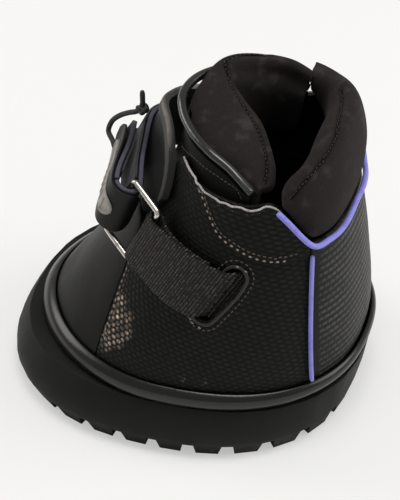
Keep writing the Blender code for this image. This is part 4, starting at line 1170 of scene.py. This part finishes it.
def inflated(piece: bpy.types.Object, shrink: float, cap: float, pressure: float) -> bpy.types.Object:
    """Divides a pad evenly and lets air pressure plump it as cloth, within a cap.

    Args:
        piece: the pad.
        shrink: how far it draws in first.
        cap: how far a point may then move.
        pressure: the air pressure.

    Returns:
        The pad, as plain mesh with one subdivision.
    """
    scene = bpy.context.scene
    rounded(piece, 2, 0.3, 70)
    moved(piece, lambda places, normals: places - normals * shrink)
    rest = places_of(piece.data)
    cloth = piece.modifiers.new("Cloth", "CLOTH")
    cloth.settings.use_pressure = True
    cloth.settings.uniform_pressure_force = pressure
    cloth.settings.effector_weights.gravity = 0
    cloth.point_cache.frame_start, cloth.point_cache.frame_end = 1, CLOTH_FRAMES
    for number in range(1, CLOTH_FRAMES + 1):
        scene.frame_set(number)
    applied(piece)
    scene.frame_set(1)
    step = places_of(piece.data) - rest
    size = np.linalg.norm(step, axis=1)
    kept = rest + step * np.minimum(1.0, cap / np.maximum(size, 1e-9))[:, None]
    moved(piece, lambda places, normals: kept)
    return subdivided(piece, 1)


def sewn(piece: bpy.types.Object, paths: Sequence[Sequence], depth: float, width: float) -> None:
    """Presses seams into a pad and marks them for the painted shade that its finish lays along them.

    Args:
        piece: the pad.
        paths: the seams' paths.
        depth: how deep a seam lies.
        width: how far its dip reaches.
    """
    places = places_of(piece.data)
    near = np.full(len(places), 1.0)
    for path in paths:
        near = np.minimum(near, distance_to(places, path))
    dip = np.exp(-((near / (width * 0.5)) ** 2))
    moved(piece, lambda rest, normals: rest - normals * (dip * depth)[:, None])
    # The mark along which the jersey paints shade in the seam's groove.
    carry(piece, "seam", np.exp(-((near / (0.95 * MM)) ** 2)))


def mirrored(path: Sequence) -> list[Vector]:
    """A path on the other side."""
    return [Vector((-p[0], p[1], p[2])) for p in path]


@dataclass
class SoleUnit:
    """Outsole, foxing band, insole board and footbed."""

    edge_round: float = 0.7 * MM

    def build(self) -> None:
        """Makes and dresses the sole unit's pieces."""
        outsole = bevelled(copied("outsole", "moulded_outsole", quads=False), self.edge_round)
        dress(outsole, SOLE_RUBBER, Body.BOOT, "outsole", angle=28)
        covered("foxing_band", "foxing_bead", BAND_RUBBER, Body.BOOT, 2, 0.3, 60, 50)
        for node, finish in (("insole_board", BOARD), ("footbed", FOAM)):
            covered(node, node + "_cover", finish, Body.BOOT, 1, 0.8)


@dataclass
class Upper:
    """Panels, overlays, pipings, lining and the slot's frame, with their stitching."""

    dent: float = 0.25 * MM
    seam_inset: float = 1.5 * MM
    row_gap: float = 2.0 * MM
    strip_width: float = 4.6 * MM
    # Sight places and sizes of the spots where the quarters' bump tops get a painted highlight.
    shine_spots: tuple = (
        ((106, 342), 5.5), ((112, 330), 6.0), ((117, 316), 6.0), ((121, 301), 5.0), ((118, 340), 5.0),
        ((126, 332), 4.5), ((128, 317), 4.5), ((184, 378), 1.6), ((195, 374), 1.6), ((204, 381), 1.8),
    )
    welt_inset: float = 2.2 * MM
    welt_radius: float = 0.75 * MM
    raw_edge_turns: tuple[float, float, float] = (80, 102, 147)
    skins: dict = field(default_factory=dict)

    def panel(self, node: str, name: str, lay: Callable[[Points], Points], seed: float) -> bpy.types.Object:
        """A panel of the upper with its cloth coordinates."""
        piece = rounded(copied(node, name), 2, 0.75)
        rumpled(piece, self.dent, 16 * MM, seed)
        carry(piece, "cloth", lay(places_of(piece.data)))
        self.skins[node] = Skin(piece)
        return piece

    def shine(self, piece: bpy.types.Object, spots: Sequence, mirror: bool = False) -> None:
        """Marks the spots where the bump tops get a painted highlight."""
        places = places_of(piece.data)
        glow = np.zeros(len(places))
        near = self.skins["near_quarter"]
        for sight, size in spots:
            hit = near.seen(sight)
            if hit:
                centre = np.array(hit[0]) * ((-1, 1, 1) if mirror else (1, 1, 1))
                far = np.linalg.norm(places - centre, axis=1)
                glow = np.maximum(glow, np.clip(1.2 - far / (size * 0.7 * MM), 0, 1))
        carry(piece, "shine", glow)

    def build(self) -> None:
        """Makes and dresses the upper's pieces."""
        toe = self.panel("toe_cap", "toe_cap_satin", unrolled, 3.1)
        dress(toe, SATIN, Body.BOOT, "toe_cap")
        for side in Side:
            word = side.word
            quarter = self.panel(word + "_quarter", word + "_quarter_cloth", unrolled, 7.7)
            self.shine(quarter, self.shine_spots, side is Side.FAR)
            dress(quarter, HEX, Body.BOOT, word + "_quarter")
            overlay = self.panel(word + "_overlay", word + "_overlay_cloth", unrolled, 1.3)
            carry(overlay, "shine", np.zeros(len(overlay.data.vertices)))
            dress(overlay, HEX, Body.BOOT, word + "_overlay")
            covered(word + "_seam_piping", word + "_seam_cord", PIPING, Body.BOOT, 2, 0.2, 70, 70)
        heel = self.panel("heel_panel", "heel_rows", banded, 5.2)
        heights = np.arange(36, 101, 4) * MM
        seams = [self.skins["heel_panel"].side(heights, last) for last in (False, True)]
        strip = np.minimum(*(distance_to(places_of(heel.data), seam) for seam in seams))
        carry(heel, "strip", 1 - np.clip((strip - self.strip_width) / (0.6 * MM), 0, 1))
        dress(heel, ROWS, Body.BOOT, "heel_panel")
        lining = rounded(copied("lining", "inner_lining"), 1, 0.5)
        carry(lining, "seam", np.zeros(len(lining.data.vertices)))
        dress(lining, KNIT, Body.BOOT, "lining")
        covered("collar_piping", "collar_cord", PIPING, Body.BOOT, 2, 0.2, 70, 70)
        self.cut_edges()
        self.stitch(seams)

    def cut_edges(self) -> None:
        """The pale raw edge along the overlays' tops."""
        for side in Side:
            quarter, overlay = self.skins[side.word + "_quarter"], self.skins[side.word + "_overlay"]
            first, middle, last = self.raw_edge_turns
            top = quarter.rim(np.arange(first, middle, 2.5) * side.value, True)
            top += overlay.rim(np.arange(middle, last, 2.5) * side.value, True)
            line = dense(top, 0.7 * MM)
            wander = [Vector(noise.noise_vector(Vector(p) / (2.2 * MM))) * (0.22 * MM) for p in line]
            lifted = line + np.array([tuple(w) for w in wander]) + np.array((0, 0, 0.25 * MM))
            tube = swept(side.word + "_raw_edge", lifted, 0.5 * MM, 6, 0.6)
            dress(tube, CUT_EDGE, Body.BOOT, angle=60)

    @staticmethod
    def inset(skin: Skin, path: Sequence, shift: tuple[float, float, float]) -> list[Vector]:
        """A path moved and pressed on a piece again."""
        return skin.nearest([Vector(p) + Vector(shift) for p in path])

    def stitch(self, heel_seams: Sequence) -> None:
        """Sews the panels."""
        dark = Stitching("panel_stitches", BLACK_THREAD, Body.BOOT)
        brown = Stitching("seam_stitches", BROWN_THREAD, Body.BOOT, 2.3 * MM, 1.6 * MM, 0.7 * MM, 0.5 * MM)
        pale = Stitching("coarse_stitches", PALE_THREAD, Body.BOOT, 2.9 * MM, 1.6 * MM, 0.9 * MM, 0.6 * MM)
        heights = np.arange(38, 96, 4) * MM
        for side in Side:
            quarter, overlay = self.skins[side.word + "_quarter"], self.skins[side.word + "_overlay"]
            seam = quarter.side(heights, side is Side.FAR)
            for k, inset in enumerate((self.seam_inset, self.seam_inset + self.row_gap)):
                row = [self.round_by(p, side.value * inset) for p in seam]
                (pale if k == 0 and side is Side.NEAR else brown).row(quarter, row[:11])
            turns = np.arange(*self.raw_edge_turns[1:], 2.5) * side.value
            bottom = overlay.rim(turns, False)
            for k in range(2):
                row = self.inset(overlay, bottom, (0, 0, self.seam_inset + k * self.row_gap))
                (pale if k == 0 else brown).row(overlay, row)
            top = overlay.rim(turns, True)
            dark.row(overlay, self.inset(overlay, top, (0, 0, -self.seam_inset)))
        heel = self.skins["heel_panel"]
        for seam, way in zip(heel_seams, (1, -1)):
            for inset in (self.seam_inset, self.strip_width):
                dark.row(heel, [self.round_by(p, way * inset) for p in seam])
        self.slot_rows(brown, pale)
        for rows in (dark, brown, pale):
            rows.build()

    @staticmethod
    def round_by(place: Vector, distance: float) -> Vector:
        """A place moved round the boot's axis by a distance."""
        x, y = place[0], place[1] - AXIS_Y
        angle = distance / math.hypot(x, y)
        return Vector((x * math.cos(angle) - y * math.sin(angle),
                       AXIS_Y + x * math.sin(angle) + y * math.cos(angle), place[2]))

    def slot_rows(self, brown: Stitching, pale: Stitching) -> None:
        """The slot's welt, a row of stitches round the slot, and the bar tacks at its ends."""
        mesh = places_of(frame["nodes"]["slot_frame"].data)
        middle = mesh.mean(axis=0)
        _, _, ways = np.linalg.svd(mesh - middle, full_matrices=False)
        along, across = ways[0], ways[1]
        reach = np.abs((mesh - middle) @ along).max()
        width = np.abs((mesh - middle) @ across).max()

        def ring(size: float, count: int) -> list:
            """An oval round the slot whose half width is that size."""
            turns = np.linspace(0, TURN, count + 1)
            straight = reach - width
            return [middle + along * (math.copysign(straight, math.cos(t)) + size * math.cos(t))
                    + across * size * math.sin(t) for t in turns]

        quarter = self.skins["near_quarter"]
        frame_skin = Skin(copied("slot_frame", "slot_guide"))
        bpy.data.objects.remove(bpy.data.objects["slot_guide"])
        sunk = frame_skin.laid(ring(width - self.welt_inset, 48), -0.1 * MM, 1 * MM)
        line = np.array([tuple(p) for p, _ in sunk])
        welt = subdivided(hoop("slot_welt", line[:-1], self.welt_radius, 8), 1)
        dress(welt, SLOT_TAPE, Body.BOOT, "slot_frame", angle=80)
        brown.row(quarter, ring(width + 0.4 * MM, 48), 0.15 * MM)
        for sights in (((183, 303), (190, 313)), ((185, 309), (191, 318)), ((193, 322), (200, 327)),
                       ((237, 270), (245, 275)), ((238, 266), (246, 271))):
            pale.row(quarter, quarter.sighted(sights), 0.9 * MM)


@dataclass
class Collar:
    """Padded roll round the heel."""

    seam_sights: tuple = ((340, 87), (338.7, 118), (334.3, 141.5), (324, 159), (310.8, 175), (291.7, 198.7))
    shrink: float = 0.4 * MM
    far_reach: tuple[float, float, float] = (111.0, 156.0, 20.5)
    belly: float = 1.6 * MM
    far_drop: float = 3.0 * MM

    def widened(self, places: Points, normals: Points) -> Points:
        """Brings the far end up to the tongue, and lets the roll hang out over its piping."""
        x, y = places[:, 0], places[:, 1] - AXIS_Y
        first, last, extra = self.far_reach
        turn = np.degrees(np.arctan2(-x, -y))
        share = np.where((turn > 0) & (turn < last), np.clip((last - turn) / (last - first), 0, 1), 0)
        angle = np.radians(share * extra)
        low, high = places[:, 2].min(), places[:, 2].max()
        height = np.clip((places[:, 2] - low) / (high - low), 0, 1)
        radius = np.hypot(x, y)
        outside = np.clip(normals[:, 0] * x / radius + normals[:, 1] * y / radius, 0, 1)
        grown = 1 + self.belly * outside * np.sin(math.pi * np.clip(height * 1.3, 0, 1)) / radius
        sine, cosine = np.sin(angle), np.cos(angle)
        turned = np.stack((x * cosine - y * sine, x * sine + y * cosine), axis=1)
        lowered = places[:, 2] - self.far_drop * height * share**2
        return np.column_stack((turned * grown[:, None] + (0, AXIS_Y), lowered))

    def build(self) -> None:
        """Makes and dresses the collar pad with its sewn seam."""
        pad = copied("rear_collar_pad", "collar_cushion")
        moved(pad, self.widened)
        pad = inflated(pad, self.shrink, 2.2 * MM, 5.0)
        seam = Skin(pad).traced(self.seam_sights)
        sewn(pad, [seam], 1.3 * MM, 3.6 * MM)
        dress(pad, JERSEY, Body.BOOT, "rear_collar_pad", angle=80)
        rows = Stitching("collar_stitches", BLACK_THREAD, Body.BOOT, 2.2 * MM, 1.5 * MM, 0.45 * MM)
        rows.row(Skin(pad), seam)
        rows.build()


@dataclass
class Tongue:
    """Padded tongue with its facing and its rolled binding."""

    seam_sights: tuple = ((225, 60), (227.5, 70), (233, 86), (243, 102.5), (253, 118), (261, 134), (266, 150),
                          (268, 166), (266, 182), (262, 194))
    top_sights: tuple = ((225, 60), (232, 55.5), (243.7, 53.5), (265, 54), (290, 57), (303, 61), (313, 67),
                         (319, 73))
    facing_sights: tuple = ((182.4, 146.4), (192, 156), (204, 166.8), (216, 175.2), (228, 183.6),
                            (237.7, 190.8), (241, 198))
    shrink: float = 0.4 * MM

    def build(self) -> None:
        """Makes and dresses the tongue's pieces."""
        pad = inflated(copied("tongue_pad", "tongue_cushion"), self.shrink, 1.3 * MM, 4.0)
        skin = Skin(pad)
        seam, other = skin.traced(self.seam_sights), skin.traced(self.top_sights)
        sewn(pad, [p for p in (seam, other) if len(p) > 2], 1.2 * MM, 3.4 * MM)
        dress(pad, JERSEY, Body.TONGUE, "tongue_pad", angle=80)
        shell = covered("tongue_shell", "tongue_facing", SATIN, Body.TONGUE, 2, 0.6, lay=unrolled)
        covered("tongue_edge_roll", "tongue_binding", ROLL_RUBBER, Body.TONGUE, 2, 0.2, 70, 70)
        rows = Stitching("tongue_stitches", BLACK_THREAD, Body.TONGUE, 2.2 * MM, 1.5 * MM, 0.45 * MM)
        rows.row(Skin(pad), seam)
        if len(other) > 3:
            rows.row(Skin(pad), other)
        rows.build()
        facing = Stitching("facing_stitches", BROWN_THREAD, Body.TONGUE, 2.0 * MM, 1.6 * MM, 0.4 * MM)
        face = Skin(shell)
        near = face.sighted(self.facing_sights)
        facing.row(face, near)
        facing.row(face, face.nearest(mirrored(near)))
        facing.build()


@dataclass
class RingAndWebbing:
    """Wire ring and the ribbed webbing that holds it."""

    def build(self) -> None:
        """Makes and dresses the ring and the webbing."""
        slot, start = middle_of("slot_frame"), middle_of("strap_ring")
        covered("strap_ring", "wire_ring", NICKEL, Body.RING, 2, 0.0, 120, 80)
        lay = laid_along(RING_ACROSS, slot - start, start)
        covered("webbing_strap", "ribbed_webbing", WEBBING, Body.BOOT, 2, 0.8, lay=lay)


@dataclass
class Closure:
    """Wide strap across the front with its edge tape, and the narrow strap to the ring."""

    cut_width: float = 0.45 * MM
    tape_line: float = 0.6 * MM

    @staticmethod
    def upper_edge(places: Points, across: Vector, width: float) -> Points:
        """How near each point of a strap lies to its upper edge, from 0 past that width to 1 on the edge."""
        one = across.orthogonal().normalized()
        flat = np.stack((places @ np.array(one), places @ np.array(across.cross(one))), axis=1)
        height = places @ np.array(across)
        near = np.linalg.norm(flat[:, None] - flat[None], axis=2) < 2.5 * MM
        top = np.where(near, height[None], -1.0).max(axis=1)
        return np.clip(1.4 - (top - height) / width, 0, 1)

    def strap(self, node: str, name: str, finish: Finish, body: Body, lay: Callable[[Points], Points],
              cut: bool) -> bpy.types.Object:
        """A strap with its cloth coordinates and its cut edges marked."""
        piece = rounded(copied(node, name), 2, 0.7)
        cloth = lay(places_of(piece.data))
        carry(piece, "cloth", cloth)
        edge = np.zeros(len(cloth))
        if cut:
            edge = self.upper_edge(places_of(piece.data), FOLD_ACROSS, self.cut_width)
        carry(piece, "edge", edge)
        return dress(piece, finish, body, node)

    def build(self) -> None:
        """Makes and dresses the straps."""
        wide = self.strap("closure_strap", "front_strap", STRAP_CLOTH, Body.BOOT, banded, False)
        tape = rounded(copied("closure_strap_binding", "strap_edge_tape"), 2, 0.5)
        # All of the tape but its upper edge gets painted shade.
        carry(tape, "under", 1 - self.upper_edge(places_of(tape.data), Vector((0, 0, 1)), self.tape_line))
        dress(tape, EDGE_TAPE, Body.BOOT, "closure_strap_binding")
        lay = laid_along(FOLD_ACROSS, STRAP_AHEAD, middle_of("fastening_strap"))
        self.strap("fastening_strap", "narrow_strap", PLAIN_STRAP, Body.BOOT, lay, True)
        patch = covered("strap_anchor", "anchor_patch", SATIN, Body.BOOT, 2, 0.6, lay=banded)
        covered("loop_patch", "loop_pile_patch", PILE, Body.BOOT, 1, 0.6)
        rows = Stitching("strap_stitches", BLACK_THREAD, Body.BOOT, 2.4 * MM, 1.7 * MM, 0.5 * MM)
        skin = Skin(wide)
        low_edge = skin.rim(np.arange(-100, 40, 5), False)
        rows.row(skin, [Vector(p) + Vector((0, 0, 2.2 * MM)) for p in low_edge])
        anchor = Skin(patch)
        for drop in (2 * MM, 4.2 * MM):
            for top in (True, False):
                edge = anchor.rim(np.arange(-120, -60, 3), top)
                shift = Vector((0, 0, -drop if top else drop))
                rows.row(anchor, [Vector(p) + shift for p in edge])
        rows.build()


@dataclass
class PullTab:
    """The folded-back end with its pads, its moulded tab, the ribbed plate, and the pull cord."""

    cord_radius: float = 1.2 * MM
    cord_route: tuple = (
        (-0.0111, -0.04286, 0.10011), (-0.01499, -0.04635, 0.10232), (-0.01581, -0.04475, 0.10745),
        (-0.01533, -0.04063, 0.11182), (-0.0139, -0.03598, 0.11526), (-0.01241, -0.0311, 0.11835),
        (-0.0118, -0.02935, 0.1207), (-0.01167, -0.0285, 0.12361), (-0.01169, -0.02847, 0.12564),
        (-0.01176, -0.02852, 0.12766), (-0.01188, -0.02862, 0.12968),
    )
    knot_strand: float = 1.15 * MM
    rib_count: int = 9
    wrap: float = 17.0 * MM
    bend_radius: float = 6.4 * MM
    tab_half: float = 11.6 * MM
    tab_thickness: float = 1.1 * MM
    tab_lift: float = 0.3 * MM
    plate_half: float = 4.8 * MM
    rise: float = 3.8 * MM

    def build(self) -> None:
        """Makes and dresses the tab's pieces."""
        lay = laid_along(FOLD_ACROSS, STRAP_AHEAD, middle_of("fold_back"))
        Closure().strap("fold_back", "folded_end", PLAIN_STRAP, Body.TAB, lay, True)
        covered("hook_pad", "hook_pile", PILE, Body.TAB, 1, 0.6)
        self.hinge = Vector(next(j["pos_m"] for j in frame["joints"] if j["name"] == "tab_peel"))
        self.face = Skin(copied("fold_back", "fold_guide"))
        bpy.data.objects.remove(bpy.data.objects["fold_guide"])
        self.free_end = max((Vector(p) - self.hinge).dot(BACK) for p in self.face.places)
        self.factors = self.profile()
        self.layer("moulded_tab", TAB_RUBBER, "grip_tab", -self.wrap, self.free_end - 0.5 * MM, 0.0,
                   self.tab_half, self.tab_lift, self.tab_thickness, 6 * MM)
        aside = (middle_of("grip_plate") - self.hinge).dot(FOLD_ACROSS)
        start, end = -self.wrap * 0.42, self.free_end - 7 * MM
        lift = self.tab_lift + self.tab_thickness
        self.layer("silver_grip", SILVER, "grip_plate", start, end, aside, self.plate_half, lift,
                   0.7 * MM, self.plate_half)
        self.border(start, end, aside, lift + 0.7 * MM)
        self.cord()

    def profile(self) -> Points:
        """Fits the strap's outer face past the hinge line: how far it turns off, as two curve factors."""
        stations, heights = np.linspace(4 * MM, self.free_end - 3 * MM, 16), []
        for along in stations:
            shift = self.rise * (along / self.free_end) ** 1.5
            start = self.hinge + BACK * along + FOLD_ACROSS * shift + APART * 20 * MM
            hit = self.face.tree.ray_cast(start, -APART)[0]
            heights.append((hit - self.hinge).dot(APART) if hit else 0.0)
        return np.linalg.lstsq(np.stack((stations**2, stations**3), axis=1), np.array(heights), rcond=None)[0]

    def surface(self, along: float, aside: float, lift: float) -> Vector:
        """A point over the strap's outer face: along it from the hinge line, aside, and lifted off it."""
        if along < 0:
            angle = -along / self.bend_radius
            middle = self.hinge - APART * self.bend_radius
            out = APART * math.cos(angle) - BACK * math.sin(angle)
            return middle + out * (self.bend_radius + lift) + FOLD_ACROSS * aside
        square, cube = self.factors
        slope = 2 * square * along + 3 * cube * along**2
        out = (APART - BACK * slope).normalized()
        face = self.hinge + BACK * along + APART * (square * along**2 + cube * along**3)
        return face + out * lift + FOLD_ACROSS * (aside + self.rise * (along / self.free_end) ** 1.5)

    def layer(self, name: str, finish: Finish, node: str, start: float, end: float, aside: float, half: float,
              lift: float, thickness: float, corner: float) -> bpy.types.Object:
        """A moulded layer that follows the strap's outer face round its bend.

        Args:
            name: its name.
            finish: its finish.
            node: the CAD node that it replaces.
            start: where it starts along the strap, from the hinge line.
            end: where it ends.
            aside: its middle line's place across the strap.
            half: half its width.
            lift: its lower face's height over the strap.
            thickness: its thickness.
            corner: the radius of its corners at the start; the end is half round.

        Returns:
            The layer.
        """
        steps, columns = 36, 8
        tops, bottoms = [], []
        for i in range(steps + 1):
            along = start + (end - start) * (1 - math.cos(math.pi * i / steps)) / 2
            bend = corner if along - start < end - along else half
            gone = max(0.0, bend - min(along - start, end - along))
            wide = half - bend + math.sqrt(max(bend**2 - gone**2, (0.25 * bend) ** 2))
            across = [aside + wide * (2 * j / columns - 1) for j in range(columns + 1)]
            tops.append([self.surface(along, v, lift + thickness) for v in across])
            bottoms.append([self.surface(along, v, lift) for v in across])
        rings = [top + bottom[::-1] for top, bottom in zip(tops, bottoms)]
        count = len(rings[0])
        faces = ring_faces(steps + 1, count)
        for end_ring, flip in ((0, True), (steps, False)):
            for j in range(columns):
                first = end_ring * count
                face = (first + j, first + j + 1, first + count - 2 - j, first + count - 1 - j)
                faces.append(face[::-1] if flip else face)
        piece = object_of(name, [p for ring in rings for p in ring], faces)
        with edited(piece) as work:
            bmesh.ops.recalc_face_normals(work, faces=work.faces)
        self.bend(rounded(piece, 2, 0.45), finish, 50)
        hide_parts(node)
        log.info("%s: %d faces", name, len(piece.data.polygons))
        return piece

    def bend(self, piece: bpy.types.Object, finish: Finish, angle: float) -> None:
        """Shades and finishes a piece, and bakes its transform into its mesh."""
        shaded(piece, angle)
        piece.data.materials.append(finish.material())
        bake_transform(piece)

    def border(self, start: float, end: float, aside: float, lift: float) -> None:
        """The plate's raised rim and its cross ribs."""
        half, size = self.plate_half - 0.7 * MM, 48
        middle, reach = (start + end) / 2, (end - start) / 2 - 0.7 * MM
        loop = []
        for k in range(size):
            turn = TURN * k / size
            along = middle + math.copysign(reach - half, math.cos(turn)) + half * math.cos(turn)
            loop.append(self.surface(along, aside + half * math.sin(turn), lift))
        rim = hoop("grip_rim", np.array([tuple(p) for p in loop]), 0.55 * MM, 8)
        self.bend(rim, SILVER, 70)
        work = bmesh.new()
        for along in np.linspace(middle - reach + half, middle + reach - half, self.rib_count):
            across = np.linspace(-half + 0.9 * MM, half - 0.9 * MM, 7)
            line = np.array([tuple(self.surface(along, aside + v, lift + 0.05 * MM)) for v in across])
            rib = swept("grip_rib", line, 0.5 * MM, 8, 0.4)
            work.from_mesh(rib.data)
            bpy.data.objects.remove(rib)
        ribs = object_of("grip_ribs", (), ())
        work.to_mesh(ribs.data)
        work.free()
        self.bend(ribs, SILVER, 70)

    def cord(self) -> None:
        """The pull cord, its knot and its free end."""
        away = Vector(self.cord_route[0]) - self.hinge
        inside = self.surface(self.free_end - 4 * MM, away.dot(FOLD_ACROSS) - self.rise, 0.4 * MM)
        path = dense((tuple(inside), *self.cord_route), 1.4 * MM)
        rope = swept("pull_cord_braid", path, self.cord_radius, 14, 0.25)
        dress(rope, CORD, Body.TAB, "pull_cord", "cord_tail", angle=60)
        middle = np.array(middle_of("cord_knot"))
        turn = np.linspace(0, TURN, 73)[:-1]
        size = 0.72 * MM
        loop = np.stack((np.sin(turn) + 2 * np.sin(2 * turn), np.cos(turn) - 2 * np.cos(2 * turn),
                         -1.35 * np.sin(3 * turn)), axis=1) * size
        knot = hoop("overhand_knot", middle + loop, self.knot_strand, 8)
        remesh = knot.modifiers.new("Remesh", "REMESH")
        remesh.mode, remesh.voxel_size = "VOXEL", 0.28 * MM
        applied(knot)
        carry(knot, "cloth", places_of(knot.data))
        dress(knot, CORD, Body.TAB, "cord_knot", angle=70)


@dataclass
class Studio:
    """Pale floor, soft lamps and the camera."""

    floor_size: float = 4.0
    world_level: float = 0.36

    def floor(self) -> None:
        """A pale floor that the camera sees as white where it is lit in full."""
        half = self.floor_size / 2
        corners = [(x * half, y * half, -0.2 * MM) for x, y in ((-1, -1), (1, -1), (1, 1), (-1, 1))]
        floor = object_of("studio_floor", corners, [(0, 1, 2, 3)])
        shader = Shader("studio_paper")
        grain = shader.noise(shader.places(), 30 * MM, 2)
        colour = shader.blend(grain * 0.2, (0.93, 0.925, 0.90), (0.90, 0.89, 0.86))
        made = shader.node("ShaderNodeBsdfPrincipled", None, {"Base Color": colour, "Roughness": 0.8})
        glow = shader.node("ShaderNodeEmission", None, {"Color": (1.0, 1.0, 1.0, 1.0), "Strength": 1.0})
        seen = shader.node("ShaderNodeLightPath")
        share = Level(shader, seen.outputs["Is Camera Ray"]) * 0.45
        both = shader.node("ShaderNodeMixShader", None, {0: share, 1: made.outputs[0], 2: glow.outputs[0]})
        shader.node("ShaderNodeOutputMaterial", None, {"Surface": both.outputs[0]})
        floor.data.materials.append(shader.material)

    def world(self) -> None:
        """A soft even sky that the camera sees as white."""
        world = bpy.data.worlds.new("studio_world")
        bpy.context.scene.world = world
        shader = Shader("studio_world", world)
        sky = {"Strength": self.world_level, "Color": (1.0, 0.985, 0.965, 1.0)}
        lit = shader.node("ShaderNodeBackground", None, sky)
        white = shader.node("ShaderNodeBackground", None, {"Strength": 1.0})
        ray = shader.node("ShaderNodeLightPath").outputs
        seen = shader.math("MAXIMUM", ray["Is Camera Ray"], ray["Is Transmission Ray"])
        both = shader.node("ShaderNodeMixShader", None, {0: seen, 1: lit.outputs[0], 2: white.outputs[0]})
        shader.node("ShaderNodeOutputWorld", None, {"Surface": both.outputs[0]})

    @staticmethod
    def aimed(name: str, data: bpy.types.ID, place: Sequence, target: Sequence) -> bpy.types.Object:
        """An object at a place that looks at a target."""
        made = bpy.data.objects.new(name, data)
        made.location = place
        made.rotation_mode = "QUATERNION"
        made.rotation_quaternion = (Vector(target) - Vector(place)).to_track_quat("-Z", "Y")
        bpy.context.scene.collection.objects.link(made)
        return made

    def lamp(self, name: str, place: tuple, size: float, energy: float, colour: tuple) -> None:
        """A square soft lamp that looks at the boot."""
        light = bpy.data.lights.new(name, "AREA")
        light.shape, light.size, light.energy, light.color = "SQUARE", size, energy, colour
        self.aimed(name, light, place, (0, 0, 0.06))

    def camera(self) -> None:
        """The camera at the picture's angle."""
        data = bpy.data.cameras.new("camera")
        data.sensor_width = SENSOR
        data.lens = FOCAL_PIXELS * SENSOR / PHOTO_HEIGHT
        data.clip_start, data.clip_end = 0.05, 20.0
        bpy.context.scene.camera = self.aimed("camera", data, CAMERA_PLACE, CAMERA_TARGET)

    def build(self) -> None:
        """Sets the scene."""
        self.floor()
        self.world()
        self.lamp("rear_window", (-0.35, 1.2, 0.9), 0.9, 8.0, (1.0, 0.99, 0.97))
        self.lamp("toe_window", (-0.2, -1.3, 0.85), 0.8, 6.0, (1.0, 0.985, 0.96))
        self.lamp("top_panel", (0.05, 0.1, 1.5), 0.7, 8.0, (1.0, 1.0, 1.0))
        self.camera()
        bpy.context.scene.view_settings.view_transform = "Standard"


def main() -> None:
    """Builds the boot in order."""
    for part in (Studio, PullTab, SoleUnit, Upper, Collar, Tongue, RingAndWebbing, Closure):
        part().build()
    counter = frame["nodes"]["heel_counter"].data
    counter.materials.clear()
    counter.materials.append(BOARD.material())


if __name__ == "__main__":
    main()
